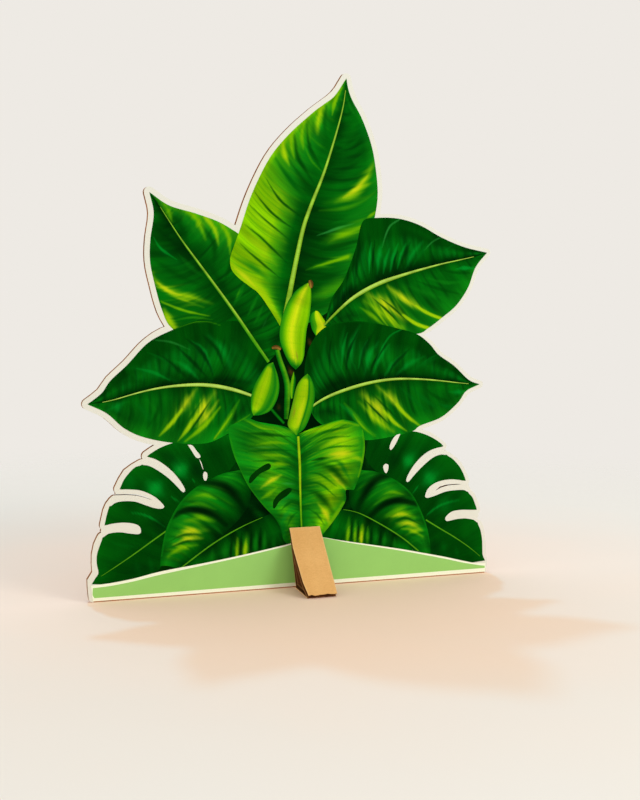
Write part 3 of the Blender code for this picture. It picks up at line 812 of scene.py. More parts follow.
MIDDLE_RIGHT_MIDRIB = path(5.5, 106.5, 12, 110.5, 20, 114, 30, 117.2, 40, 119.7, 50, 121.4, 60, 122.2,
                           70, 122.1, 80, 121.5, 90, 120.5, 100, 119.3, 108, 118.4, 115.3, 118)
MIDDLE_RIGHT = (
    Blade("middle_right_leaf_top", MIDDLE_RIGHT_MIDRIB,
        path(4.6, 107.5, 1.5, 124, 3, 138, 8.4, 148.4, 14.6, 153.6, 22, 156, 32, 157, 44, 156, 60, 152.6,
             73, 149, 81.5, 143, 87.5, 136.5, 98, 129.6, 108, 120.9, 115.5, 118), 0.28, DIM_GROUND,
        (brush(NIGHT, (9, 80, 8, 112, 20, 119.5, 36, 123.5)),
         brush(SEA, (3, 60, 14.5, 148, 13.6, 138, 14, 126), (4, 90, 26.5, 154, 24, 142, 22.6, 127)),
         brush(TEAL, (2.2, 70, 28, 150, 25.6, 141, 24.6, 129), (5, 85, 36, 154.4, 31.4, 144.3, 29.9, 130),
               (2.4, 80, 41, 146, 37.4, 138, 35.4, 129), (4.8, 90, 48, 144.6, 42.2, 136.4, 39.4, 125.4),
               (3.6, 85, 55, 143, 48.6, 134.6, 44.8, 125.4), (3.8, 80, 64, 137, 56.6, 130, 52.4, 124.6),
               (4, 70, 78, 135.6, 68, 131, 60, 125)), brush(SEA, (4.4, 80, 88, 135, 79, 132, 70, 126.6)),
         brush(INK, (1.8, 85, 35, 151, 28.8, 138, 27.4, 125.6), (3.6, 75, 46, 152, 38.8, 140, 35.6, 126),
               (2, 85, 53, 143, 45.4, 132.4, 42.4, 124), (2.4, 80, 68, 140, 58, 130.6, 54.6, 123.6),
               (1.2, 60, 19, 150, 17, 139, 17.4, 126)),
         brush(TEAL, (1, 60, 63, 152, 56, 148.5, 51, 142, 46, 132), start=0.8),
         brush(SEA, (1, 60, 88, 136.8, 82, 134.6, 75, 130), start=0.8),
         brush(DARK, (7, 50, 76, 144, 68, 143, 60, 140)),
         brush(DEEP, (1.4, 60, 8, 148.6, 20, 155.6, 34, 157, 52, 154.8))), (DARK_VEINS, SEA_VEINS),
        lean=1.3, bulge=0.07, seed=31),
    Blade("middle_right_leaf_bottom", MIDDLE_RIGHT_MIDRIB,
        path(5, 105.5, 10, 98, 24, 90, 40, 86, 58, 87.6, 71, 90.4, 76, 93.6, 90, 98.4, 101, 107, 106.5, 114,
             115.5, 118), 0.28, CLEAR_GROUND,
        (brush(LEAF, (7, 60, 50, 116, 61, 106, 72, 97)),
         brush(YELLOW, (5.8, 100, 47, 118.6, 55.6, 111.2, 64, 103), start=0.2, end=0.2, rough=0.6),
         brush(BRIGHT, (2.2, 90, 60, 107, 67.6, 99.4, 77, 92.6), start=0.8, end=0.2, rough=0.4),
         brush(YELLOW, (9.6, 100, 38.4, 113.4, 46.4, 106.6, 54.4, 98.6), start=0.3, end=0.3, rough=0.65),
         brush(BRIGHT, (2.2, 90, 52, 103, 59.6, 95.6, 67, 90.6), start=0.8, end=0.2, rough=0.4),
         brush(BRIGHT, (4.8, 95, 36, 109, 42.7, 102.4, 50, 96.2, 58, 90.6), end=0.4, rough=0.5),
         brush(DARK, (1.2, 85, 39, 110.6, 47.6, 102.4, 55.6, 95), (1.3, 70, 44, 114, 53, 105.6, 62.6, 96.6)),
         brush(FRESH, (3.2, 90, 26.6, 108.4, 34, 100, 40, 93, 46, 88.6), start=0.2, end=0.5, rough=0.3),
         brush(TEAL, (3.4, 55, 23, 108.6, 29.6, 103.6, 35, 97)),
         brush(LIME, (1.1, 60, 32, 102, 38, 94.6, 44, 89.4)),
         brush(SEA, (3, 50, 62, 117.6, 72, 109, 82, 101), (3.2, 60, 70, 117.4, 78, 110, 89, 102.6)),
         brush(DARK, (2.6, 60, 78, 117, 86, 111, 97, 107)),
         brush(TEAL, (4, 80, 95, 113.8, 101, 113.4, 107, 114)),
         brush(SEA, (2.6, 90, 88, 107, 94, 104.6, 100, 105.6)),
         brush(NIGHT, (8, 70, 9, 103, 17, 104, 24, 101))), (DARK_VEINS, FINE_VEINS), lean=1.2, bulge=0.05,
        seed=37),
    ribbon("middle_right_leaf_midrib", MIDDLE_RIGHT_MIDRIB[:-1], (1.2, 1.7, 1.9, 1.7, 1.3, 1, 0.7, 0.3), 0.32,
        PALE_RIB_GROUND),
)

LEFT_CUTS = ((path(-98, 79.4, -95, 76.7, -91, 75.8, -86, 73, -80, 68.5, -75, 63.5, -72, 60.2, -70.6, 59.9,
                   -70.2, 61.6, -73, 66.5, -77, 71.5, -82, 76, -87, 79.3, -92, 81.1, -95, 83),
              path(-95, 83, -98, 79.4)),
             (path(-117, 58, -113.5, 54, -110, 55.8, -105, 56.4, -99, 55.8, -93, 53.5, -88, 51.6, -84, 51,
                   -82.3, 51.8, -83, 53.5, -87, 57.5, -92, 60.5, -97, 62.3, -103, 63, -107.8, 63.3,
                   -112, 65), path(-112, 65, -117, 58)),
             (path(-121, 37.4, -117.5, 36.5, -114, 38.5, -108, 38.9, -102, 37.8, -97.5, 37.2, -95.7, 38.2,
                   -96.5, 41.5, -100, 43.4, -106, 44.3, -112, 44, -116.3, 43.3, -120, 44),
              path(-120, 44, -121, 37.4)))
RIGHT_CUTS = ((path(98, 78, 94, 75.2, 90, 75.4, 85, 73.8, 79, 69.5, 73, 64, 69.3, 60, 67.8, 59.4, 67.2, 61,
                    69, 65, 72.5, 70, 77, 74.5, 82, 77.8, 87, 79.5, 91.5, 80.4, 94, 83),
               path(94, 83, 98, 78)),
              (path(113, 54, 109, 51.5, 106, 52.8, 99, 52.9, 93, 52.2, 87, 50.3, 82, 49.1, 80, 49.6,
                    80.2, 51.6, 82, 55, 86, 57.8, 91, 59.3, 97, 59.8, 102, 59.3, 107.3, 58.5, 111, 60),
               path(111, 60, 113, 54)),
              (path(120, 32, 116, 31.8, 113, 33.8, 107, 35, 101, 34.8, 96, 34, 94, 34.4, 94, 36.6, 98, 39.7,
                    104, 40.5, 110, 40.2, 115.2, 40, 119, 41), path(119, 41, 120, 32)))
SPLIT_GROUND = Ground((0, DARK, 0.3, DARK, 0.6, DARK, 1, DEEP), depth=0.12)

SPLIT_LEFT = (
    Blade("left_split_leaf", path(-98, 8, -84, 18, -80, 38, -71, 52, -59, 61, -47, 68, -40, 76),
        path(-123.8, 10.4, -121.8, 13.6, -120, 16.6, -120.9, 22, -120.5, 28, -117.5, 36.5, -116.4, 43.3,
             -113.5, 54, -107.8, 63.3, -105.6, 68, -103, 71.5, -99, 75.3, -95, 76.7, -92, 81.2, -88, 84,
             -83, 86.5, -76, 88.6, -70, 89.3, -58, 91, -44, 92), 0.14, SPLIT_GROUND,
        (brush(SEA, (9, 90, -78, 80, -73, 74, -69, 67), rough=0),
         brush(TEAL, (6, 85, -76, 76.5, -73, 72.6, -70, 68.6), rough=0),
         brush(MIST, (2, 30, -74.6, 74.6, -72.4, 72), rough=0),
         brush(INK, (8, 90, -66, 78, -62, 71, -60, 66), (5, 40, -86, 84, -79, 80, -74, 76), rough=0.2),
         brush(SEA, (11, 85, -94, 68, -88, 62.6, -82, 57), rough=0),
         brush(TEAL, (6.5, 90, -91.4, 66, -87.4, 62.6, -83.6, 59.4), rough=0),
         brush(SEA, (9, 70, -107, 67, -103, 68, -98, 70), rough=0),
         brush(DEEP, (9, 70, -104, 48, -95, 49, -86, 46), rough=0.1),
         brush(TEAL, (0.9, 75, -101, 49.6, -95, 48.4, -88, 45, -82, 40.4), start=0.3, end=0.6, rough=0.1),
         brush(TEAL, (0.7, 70, -78.4, 58, -76, 56, -73.4, 53.6), (0.6, 60, -66, 67.6, -64.4, 65)),
         brush(INK, (7, 70, -90, 44, -84, 40, -82, 34), rough=0.2),
         brush(DEEP, (10, 60, -116, 26, -106, 30, -98, 33), rough=0.1),
         brush(SEA, (1.6, 35, -112, 33, -105, 31, -98, 30), (5, 60, -99, 21, -97.5, 17, -97, 13),
               (4, 45, -91, 23, -90, 18, -89.6, 13)),
         brush(INK, (7, 50, -108, 15, -98, 16, -88, 17), rough=0.3)), cuts=LEFT_CUTS, step=0.9, seed=41),
    ribbon("left_split_leaf_midrib", path(-118.5, 14.6, -110, 19.6, -100, 25.8, -90, 32.4, -81.4, 38),
        (0.3, 0.7, 0.9, 1.0), 0.18, THIN_RIB_GROUND),
)

SPLIT_RIGHT = (
    Blade("right_split_leaf", path(100, 6, 84, 14, 81, 30, 74, 44, 64, 56, 54, 63, 45, 69, 40, 76),
        path(121.6, 7.6, 119.9, 11, 119.6, 14, 119.2, 21, 118, 27, 116, 31.8, 115.2, 40, 114, 43.5, 112, 48,
             109, 51.5, 107.3, 58.5, 105, 64, 102, 68.5, 98, 72.5, 94, 75.2, 91.6, 80.6, 88, 83.7, 83, 86.6,
             77, 89, 71, 90.3, 58, 91.6, 44, 92), 0.14, SPLIT_GROUND,
        (brush(SEA, (8, 90, 74, 80, 70, 74, 66, 67), rough=0),
         brush(TEAL, (5, 80, 71, 76, 68.4, 72, 66.4, 68.4), rough=0),
         brush(INK, (8, 80, 60, 80, 58, 72, 57, 66), rough=0.2),
         brush(SEA, (11, 85, 91, 66, 84, 62, 77, 56), rough=0),
         brush(TEAL, (6, 80, 87, 63.6, 83, 61, 79, 58), rough=0),
         brush(DEEP, (9, 60, 102, 66, 98, 69, 92, 71), rough=0),
         brush(SEA, (9, 75, 100, 45, 93, 44, 87, 41), rough=0),
         brush(TEAL, (1, 70, 104, 46.8, 95, 45.4, 88, 43, 81.4, 38.6), start=0.3, end=0.6, rough=0.1),
         brush(TEAL, (0.9, 70, 76, 58, 73.6, 55, 71.4, 52.4)),
         brush(INK, (7, 60, 88, 38, 82, 32, 82, 26), rough=0.2),
         brush(DEEP, (10, 70, 113, 29, 108, 27, 102, 27), rough=0.1),
         brush(SEA, (5, 50, 92, 22, 93, 18, 94, 14), (4, 40, 101, 18, 102, 14, 103, 11)),
         brush(INK, (7, 60, 86, 24, 87, 18, 90, 13), rough=0.3)), cuts=RIGHT_CUTS, step=0.9, seed=43),
    ribbon("right_split_leaf_midrib", path(118, 10.6, 110, 17, 100, 23.8, 90, 29.8, 80.6, 35.6),
        (0.3, 0.7, 0.9, 1.0), 0.18, THIN_RIB_GROUND),
)

INNER_GROUND = Ground((0, DEEP, 0.25, LEAF, 0.6, DEEP, 0.85, DARK, 1, INK), depth=0.34)
INNER_VEINS = (Veins(DARK, 4.4, 1.2, 0.6), Veins(FRESH, 4.9, 1.2, 0.4, 0.15, 0.75))

INNER_LEFT = (
    Blade("left_inner_leaf",
        path(-84.8, 18, -84.4, 25, -83.2, 31.5, -81, 39.8, -77, 48.2, -71.8, 55.5, -65, 61.6, -56, 66.4,
             -48, 69.6, -40, 71),
        path(-74, 15, -62, 23, -52, 31, -43, 38, -36, 45, -32, 52, -31, 58, -32, 64, -34, 70), 0.2,
        INNER_GROUND,
        (brush(FRESH, (6, 85, -72, 43.6, -63, 44.4, -54, 42)),
         brush(LIME, (4.6, 70, -70, 43, -62, 44.4, -53, 42.6), start=0.3),
         brush(FRESH, (4.6, 80, -78, 35.5, -68, 38.5, -56, 37)),
         brush(YELLOW, (5.4, 90, -75, 34.6, -67.6, 37.4, -58, 36.6), (4, 90, -76.6, 30, -69, 33, -60, 32.6),
               start=0.3, end=0.1), brush(LIME, (4, 90, -80, 23.6, -72, 28.2, -63, 28.8), start=0.3),
         brush(DARK, (1.4, 60, -80, 31.6, -71, 35.2, -58, 34.6), (1.5, 70, -80, 28, -70, 31.2, -60, 31)),
         brush(FRESH, (5, 75, -70, 55, -62, 57.6, -53, 55)),
         brush(LIME, (2.4, 50, -64, 57.4, -58, 57.6, -52, 55)),
         brush(FRESH, (2.6, 60, -71, 51.4, -62, 52.8, -52, 49)),
         brush(LEAF, (6, 70, -52, 67, -46, 65, -40, 60), (2, 50, -60, 43, -52, 38, -47, 33)),
         brush(NIGHT, (3.6, 97, -78, 46, -70, 49.4, -61.3, 49, -53, 45.6, -46, 39.6), start=0.6, end=0.6,
               rough=0.1),
         brush(NIGHT, (4.6, 97, -58, 65.4, -47.6, 62.4, -40, 56, -34.6, 47), start=0.5, end=0.5, rough=0.1),
         brush(LEAF, (1.1, 80, -84, 24, -81, 38, -74, 52.6, -63.4, 62.4), start=0.6, end=0.6, rough=0.1)),
        INNER_VEINS, bulge=-0.1, step=0.7, seed=47),
    Blade("left_low_leaf", path(-74, 15.6, -65, 21.8, -55, 28.4, -45, 34, -35, 38.6, -26, 42.4, -18, 45),
        path(-74, 11, -60, 14, -48, 16, -38, 18, -28, 20, -17, 22, -6, 24), 0.24, MOTTLED_GROUND,
        (brush(LEAF, (4.4, 70, -54, 26, -54.4, 17), (4.6, 80, -46, 30, -46.8, 18)),
         brush(LIME, (2.2, 75, -39, 32, -39.6, 18), start=0.2, end=0.8),
         brush(YELLOW, (1.2, 40, -39.2, 26, -39.7, 18)), brush(FRESH, (5, 80, -33.4, 34, -34.6, 19)),
         brush(BRIGHT, (2.2, 85, -33.8, 31, -34.8, 19), start=0.1, end=0.8),
         brush(LEAF, (2.8, 90, -27.6, 35, -28.4, 20), (2.6, 80, -22.4, 35, -23, 21)),
         brush(DEEP, (2.6, 80, -17, 34, -17, 22)),
         brush(NIGHT, (1.8, 80, -30.6, 36, -31.4, 20), (1.8, 70, -36.6, 34, -37.4, 19),
               (2.4, 70, -42.6, 31, -43.4, 18), (2.4, 80, -25, 37, -25.8, 21),
               (9, 70, -12, 40, -8, 32, -6, 26))), step=0.7, seed=53),
    ribbon("left_low_leaf_midrib", path(-74, 15.2, -65, 21.6, -55, 28.3, -45, 33.9, -35, 38.6, -24, 42.8),
        (1, 0.95, 0.8, 0.35), 0.28, THIN_RIB_GROUND),
)

INNER_RIGHT = (
    Blade("right_inner_leaf",
        path(84.2, 14, 83.6, 21, 81.3, 31.5, 77, 42, 70.8, 52.3, 62.5, 59.6, 54.2, 64, 46, 67, 38, 68),
        path(74, 14, 64, 22, 54, 29, 44, 36, 36, 41, 31, 47, 30, 54, 31, 60, 34, 68), 0.2, INNER_GROUND,
        (brush(FRESH, (6, 85, 54, 38, 64, 41.6, 73, 38.6)),
         brush(LIME, (5.4, 85, 55.4, 39, 64, 40.8, 73, 37.4), start=0.3, end=0.3),
         brush(YELLOW, (3.4, 70, 57, 38.8, 64, 40, 70, 38.6)),
         brush(FRESH, (5, 80, 60, 33.6, 69, 34.8, 78, 29.6)),
         brush(YELLOW, (4.8, 90, 61, 34.6, 69.6, 34, 78, 29), start=0.2, end=0.3),
         brush(BRIGHT, (3.6, 85, 64.6, 31, 71, 30, 78.6, 25.4), start=0.3, end=0.3),
         brush(LEAF, (2.4, 80, 70, 26, 75, 24, 79, 20)), brush(DARK, (1.3, 70, 60, 36.6, 68, 37.2, 77, 33)),
         brush(FRESH, (5.6, 70, 48, 50, 57, 54.4, 67, 51.6)),
         brush(LIME, (2.2, 50, 52, 52.6, 58, 54, 65, 52)),
         brush(FRESH, (2.4, 50, 46, 46.4, 54, 50.4, 64, 51)), brush(LEAF, (6, 60, 39, 60, 46, 66, 52, 66)),
         brush(NIGHT, (3.6, 97, 44, 40, 50, 44.8, 56, 47.6, 64, 48.4, 75, 45.4), start=0.6, end=0.6,
               rough=0.1),
         brush(NIGHT, (5, 97, 35.6, 44, 40.4, 54, 46.6, 60.8, 55, 64.4), start=0.5, end=0.6, rough=0.1),
         brush(LEAF, (1.1, 80, 84, 20, 79.4, 36, 72, 50.6, 61, 60.6), start=0.6, end=0.6, rough=0.1)),
        INNER_VEINS, bulge=-0.1, step=0.7, seed=59),
    Blade("right_low_leaf", path(76, 16.4, 66.7, 24, 57, 30.6, 45, 38, 35, 42.6, 27, 44.8, 18, 46),
        path(76, 12, 62, 16, 50, 18, 40, 20, 30, 22, 20, 24, 10, 26), 0.24, MOTTLED_GROUND,
        (brush(LEAF, (3, 70, 60, 26, 60, 18), (3, 80, 53.6, 29, 53, 20), (4.4, 85, 48, 32, 47, 21)),
         brush(FRESH, (2.4, 85, 42.4, 34, 42, 22)),
         brush(LIME, (3, 95, 38.8, 35, 38.2, 22), start=0.2, end=0.8),
         brush(YELLOW, (1.5, 80, 38.6, 31, 38.2, 22)), brush(FRESH, (3, 90, 34.4, 38, 34, 24)),
         brush(LIME, (1.2, 70, 34.2, 33, 34, 24), start=0.2, end=0.8),
         brush(FRESH, (3.4, 90, 30.2, 40, 29.4, 25)),
         brush(LIME, (1.6, 80, 30, 35, 29.4, 25), start=0.1, end=0.8),
         brush(DEEP, (2.4, 80, 25, 40, 24.6, 26)),
         brush(NIGHT, (1.4, 70, 32.2, 40, 31.8, 24), (1.6, 70, 36.4, 38, 36, 23), (2, 60, 45, 34, 44.6, 21),
               (2, 60, 51, 31, 50.4, 20), (6, 70, 20, 42, 17, 36, 16, 30))), step=0.7, seed=61),
    ribbon("right_low_leaf_midrib", path(76, 16.6, 66.7, 24.2, 57.3, 30.6, 44, 38.4, 35, 42.7, 26.6, 44.8),
        (1, 0.95, 0.8, 0.35), 0.28, THIN_RIB_GROUND),
)

HEART_MIDRIB = path(-2.2, 91, -1.7, 84, -1.1, 74, -0.8, 62, -0.6, 52, 0, 42, 0.4, 34, 0.6, 24)
HEART = (
    Blade("heart_leaf_left", HEART_MIDRIB,
        path(-3, 91.6, -10.5, 95.6, -21, 97.8, -27, 99, -33, 101, -39, 99, -44.4, 96, -43.6, 87.5, -41, 79,
             -37.7, 71.7, -34, 64, -29.8, 57.6, -22.8, 48.9, -17, 42.7, -13, 36, -10.5, 28, -4, 24), 0.34,
        Ground((0, DEEP, 0.2, LEAF, 0.5, FRESH, 0.8, LEAF, 1, LEAF), depth=0.3),
        (brush(FRESH, (2.6, 90, -35, 100.4, -26, 96.6, -16, 95, -4, 91.4), start=0.4),
         brush(LIME, (1, 60, -33, 99.4, -25.4, 95.4, -15, 93.6)),
         brush(DARK, (2.4, 80, -34, 92.6, -21, 91.4, -7, 89.4)),
         brush(DEEP, (5, 60, -42, 92, -34, 90, -26, 90.6)), brush(FRESH, (5, 75, -33, 86, -21, 87, -6, 85)),
         brush(LIME, (1.8, 55, -28, 85.6, -18, 86.6, -8, 85.4)),
         brush(MIST, (0.8, 40, -32, 83.6, -24, 84, -14, 83.6)),
         brush(DEEP, (1.5, 85, -35, 81.6, -21, 82.2, -5, 81.4)),
         brush(FRESH, (5, 80, -31, 79, -20, 79, -7, 77)),
         brush(LIME, (2, 60, -24, 79.6, -15, 79, -8, 77.6)),
         brush(DEEP, (1.2, 75, -30, 76, -20, 76, -7, 74)),
         brush(LIME, (3.2, 75, -19.5, 73.6, -13.6, 73.8, -8, 73)),
         brush(DEEP, (1.2, 70, -18, 70.6, -12, 71, -6, 70)),
         brush(FRESH, (5, 80, -28, 60, -19, 65.6, -10, 69)),
         brush(YELLOW, (3.6, 95, -25, 60.2, -19, 64, -12.6, 67.2)),
         brush(LIME, (3, 70, -25, 53.6, -20, 56.6, -15, 60)),
         brush(MIST, (1, 50, -13, 62.2, -8, 62, -4, 61.4)),
         brush(TEAL, (5.4, 70, -16, 47, -9.6, 53.4, -3, 55.8)),
         brush(DEEP, (1.4, 80, -12.6, 46.4, -8.4, 50, -3, 52.4)),
         brush(TEAL, (4, 60, -12.6, 38, -8.4, 45, -3, 48)), brush(DEEP, (1.4, 70, -9, 36, -6, 42, -2, 45)),
         brush(SEA, (5, 60, -12.6, 30, -11, 36, -8, 40)),
         brush(DARK, (2.6, 45, -22.6, 47.6, -15.4, 40, -11.4, 31)),
         brush(DEEP, (3, 60, -4, 86, -3.4, 72, -3, 58)),
         brush(FRESH, (1, 40, -43.6, 90, -38.4, 72.6, -30.4, 58.2, -19, 45), start=0.6, end=0.6, rough=0.1)),
        (Veins(DEEP, 3.7, 0.9, 0.5), Veins(FRESH, 3.1, 0.8, 0.45)), lean=1.35, bulge=0.03, step=0.7,
        seed=67),
    Blade("heart_leaf_right", HEART_MIDRIB,
        path(-1.4, 91, 4, 93.4, 11.4, 95.6, 22.8, 98.5, 29, 98.2, 35, 96.2, 38.6, 91.8, 39.9, 83, 39.4, 76,
             37.6, 67, 34.2, 58.5, 32.9, 56.2, 31, 57, 29, 57.4, 27.8, 55.6, 28.2, 51, 26, 46.4, 21, 39.2,
             14, 31, 8, 26, 2, 23), 0.34,
        Ground((0, DEEP, 0.2, LEAF, 0.45, FRESH, 0.66, LIME, 0.85, FRESH, 1, LEAF), depth=0.26),
        (brush(LIME, (2.8, 85, 2, 90, 13, 94, 25, 97, 36, 95), start=0.2, end=0.4),
         brush(DEEP, (1.8, 80, 4, 87.4, 16, 92, 30, 94.4)),
         brush(FRESH, (3, 80, 6, 86.6, 18, 90, 32, 91.4)), brush(DEEP, (1.5, 70, 5, 84, 17, 88, 31, 88.6)),
         brush(BRIGHT, (4.2, 85, 12, 82.6, 24, 86, 35, 86)),
         brush(DEEP, (1.1, 70, 8, 80, 20, 82.6, 36, 82.6)),
         brush(YELLOW, (6.6, 100, 14.6, 77.6, 24, 78.4, 34.6, 77), start=0.3, end=0.1, rough=0.5),
         brush(BRIGHT, (3, 60, 30, 76, 36, 75, 39, 72)), brush(FRESH, (3, 60, 6, 76.6, 12, 77.6, 20, 77)),
         brush(SEA, (3.6, 75, 17, 74.4, 24, 73, 28, 66.6, 31, 62)),
         brush(FRESH, (6, 60, 29, 71, 35, 68, 36, 62)),
         brush(BRIGHT, (5.6, 85, 16, 68.6, 24, 64, 30.4, 58.4)),
         brush(LIME, (7, 80, 4.4, 66, 14, 62.6, 25, 53.6)),
         brush(YELLOW, (2.2, 70, 18, 66.6, 25, 60.6, 28.6, 55.6)),
         brush(DEEP, (1.2, 70, 3, 68, 12, 66.4, 22, 59), (1.2, 70, 3, 62.4, 12, 60.6, 22, 52.4)),
         brush(LEAF, (6, 70, 3, 52, 9, 48, 13, 42)), brush(YELLOW, (3.8, 95, 10.6, 49, 15.4, 43, 18, 36.4)),
         brush(LIME, (3, 70, 26.6, 49, 21, 40.4, 14.4, 32.4), start=0.5, end=0.5, rough=0.3),
         brush(SEA, (5, 60, 4, 42, 8, 37, 11, 31)), brush(DEEP, (1.3, 60, 4, 46.6, 10, 42.6, 14.6, 36)),
         brush(DARK, (1.6, 90, 6.4, 75, 11, 75.8, 17, 76.4), start=0.3, end=0.1, rough=0.3),
         brush(DARK, (4.6, 90, 9, 72.4, 15, 71.6, 20.6, 68.4, 26, 62.8, 31.6, 57.6), start=0.3, end=0.5,
               rough=0.3),
         brush(DARK, (4.4, 85, 3, 57.6, 9, 55.6, 14.6, 50.4, 19.6, 44), start=0.3, end=0.4, rough=0.3),
         brush(DEEP, (3.4, 60, 1.4, 86, 1.8, 72, 1.6, 58)),
         brush(LIME, (0.9, 60, 38.4, 92, 39.6, 80, 36, 64), start=0.6, end=0.6, rough=0.1)),
        (Veins(DEEP, 3.9, 0.9, 0.5), Veins(LIME, 3.3, 0.9, 0.5)), lean=1.35, bulge=0.03, step=0.7, seed=71),
    ribbon("heart_leaf_midrib", path(-2.2, 89.6, -1.7, 82, -1.1, 72, -0.8, 60, -0.4, 48, 0.3, 34),
        (1.5, 1.6, 1.3, 1.1, 0.9), 0.38, Ground((0, OLIVE, 0.45, BRIGHT, 1, OLIVE), depth=0.1),
        (brush(FRESH, (3, 60, -0.6, 55, -0.2, 45, 0.3, 34), start=0.2, end=1),)),
)

FRUIT_VEIN = Veins(FRESH, 2.9, 0.5, 0.12)

STALKS = (
    ribbon("fruit_twig", path(-19.6, 107, -15.5, 102.4, -11, 97.6), (1.8, 1.9, 1.6), 0.36,
        Ground((0, DARK, 0.5, LEAF, 1, DARK), depth=0.1)),
    ribbon("fruit_stalk", path(-15.6, 140.4, -13.8, 134.6, -10.8, 126.4, -9, 118.8, -9.2, 110, -9.8, 100),
        (3.1, 3.2, 3.6, 3.9, 3.6, 2.6), 0.36,
        Ground((0, LEAF, 0.2, OLIVE, 0.4, FRESH, 0.75, LEAF, 1, DARK), depth=0.12),
        (brush(DARK, (5, 60, -9, 113, -9.4, 106, -9.8, 99), start=0.2, end=1),)),
    Blade("fruit_shoot", path(-6.8, 112, -7.6, 117, -7, 122, -5.2, 127.8),
        path(-5.6, 112, -4.4, 117, -3.8, 123, -5.2, 127.8), 0.38,
        Ground((0, FRESH, 0.4, LIME, 0.7, LEAF, 1, DARK), depth=0.1), step=0.4, seed=73),
)

TIP_GROUND = Ground((0, BROWN, 0.4, TAN, 0.7, BROWN, 1, SOIL), depth=0.3)

BANANAS = (
    ribbon("big_banana_tip", path(5.2, 176.2, 5.1, 178.4, 4.4, 180.8), (1.3, 2.6, 3.0, 1.6), 0.5, TIP_GROUND),
    ribbon("fruit_stalk_tip", path(-13.2, 140.8, -15.8, 142, -18.6, 141.6), (1.4, 2.2, 2.4, 1.2), 0.5,
        TIP_GROUND),
    Blade("small_banana", path(8.7, 148, 6, 152.2, 4.9, 157.6, 5.7, 161.4, 8, 163),
        path(8.7, 148, 11.8, 150.6, 15.8, 153.6, 12.6, 159, 9.8, 162.6, 8, 163), 0.22,
        Ground((0, LEAF, 0.24, FRESH, 0.34, FRESH, 0.38, BRIGHT, 0.7, YELLOW, 1, LIME), depth=0.08),
        (brush(TAN, (1.4, 40, 13, 156, 15.4, 153.8)),), step=0.45, seed=79, finish="fruit"),
    Blade("big_banana",
        path(-4, 128.8, -7, 131.5, -9.6, 135.5, -11.7, 140, -13.5, 145, -14, 150, -13.3, 156, -11.5, 162,
             -9, 168, -6, 172.5, -3, 175.6, 1, 178.2, 3.6, 179.4),
        path(-4, 128.8, -0.6, 132.2, 1, 136.4, 1.5, 141, 2, 146, 2.6, 152, 4, 158, 5, 165, 5.4, 170,
             5.2, 175.4, 4.4, 179), 0.42,
        Ground((0, LEAF, 0.12, FRESH, 0.24, LIME, 0.3, BRIGHT, 0.44, YELLOW, 0.6, BRIGHT, 0.74, LIME,
                0.9, LIME, 1, FRESH), depth=0.1),
        (brush(LEAF, (6, 90, -9.6, 135, -5, 130.6, -1, 132.6), start=0.2, end=0.2, rough=0.2),
         brush(DEEP, (3.4, 80, -6.6, 131.4, -4, 129.6, -1.6, 131.2), rough=0.2),
         brush(LIME, (2.4, 60, -4, 137, -2, 134, 0.4, 136)), brush(TAN, (0.8, 50, -4, 140, -2.6, 134)),
         brush(OLIVE, (1.4, 16, -3.2, 139, -3.6, 152, -0.4, 166, 3.4, 176), start=0.6, end=0.6, rough=0.2),
         brush(FRESH, (0.9, 50, -13.2, 146, -13, 154, -9.6, 165, -3, 174), start=0.6, end=0.6),
         brush(OLIVE, (2.6, 50, 0.6, 178, 4, 177.4))), (FRUIT_VEIN,), step=0.55, seed=83, finish="fruit"),
    Blade("left_banana",
        path(-29.6, 102.6, -31, 106, -31.2, 112.8, -29.4, 119.6, -26.4, 125, -21.8, 131.5, -17.8, 133.4),
        path(-29.6, 102.6, -24.6, 103, -19.3, 105.4, -15.5, 111.3, -14, 118, -14.8, 125, -17.8, 133.4),
        0.42,
        Ground((0, LEAF, 0.08, FRESH, 0.16, LIME, 0.36, BRIGHT, 0.54, LIME, 0.62, FRESH, 0.8, LEAF,
                0.92, FRESH, 1, LEAF), depth=0.08),
        (brush(LEAF, (4.4, 80, -31, 104.6, -27, 102.8, -22, 103.6), start=0.3, end=0.3, rough=0.2),
         brush(LEAF, (3.4, 70, -21, 132, -18.4, 131.6, -17, 129), start=0.4, end=0.4, rough=0.2),
         brush(FRESH, (2.2, 40, -18, 127, -18.6, 118, -23, 109), start=0.4, end=0.4, rough=0.2)),
        (FRUIT_VEIN,), step=0.55, seed=89, finish="fruit"),
    Blade("centre_banana",
        path(-3.4, 90.4, -8.6, 96, -7.6, 102.2, -5.7, 109.8, -3.4, 118.8, 0, 123.8, 3.4, 126.4),
        path(-3.4, 90.4, 1.9, 94.6, 5.7, 102.9, 7.8, 111.3, 7.6, 118, 5.6, 123.6, 3.4, 126.4), 0.42,
        Ground((0, FRESH, 0.06, OLIVE, 0.16, LIME, 0.34, BRIGHT, 0.56, BRIGHT, 0.64, LIME, 0.68, LEAF,
                0.78, FRESH, 0.88, FRESH, 1, LEAF), depth=0.08),
        (brush(YELLOW, (3, 60, -3, 94, -1, 103, 1.6, 112), start=0.2, end=0.2),
         brush(LEAF, (5, 75, -6, 93, -2, 92, 2, 95.6), start=0.3, end=0.3, rough=0.2),
         brush(TAN, (1.2, 40, -5.6, 100, -4, 108)),
         brush(LEAF, (3.4, 70, 1, 124.4, 3.4, 124.8, 5.6, 122.6), start=0.4, end=0.4, rough=0.2)),
        (FRUIT_VEIN,), step=0.55, seed=97, finish="fruit"),
)

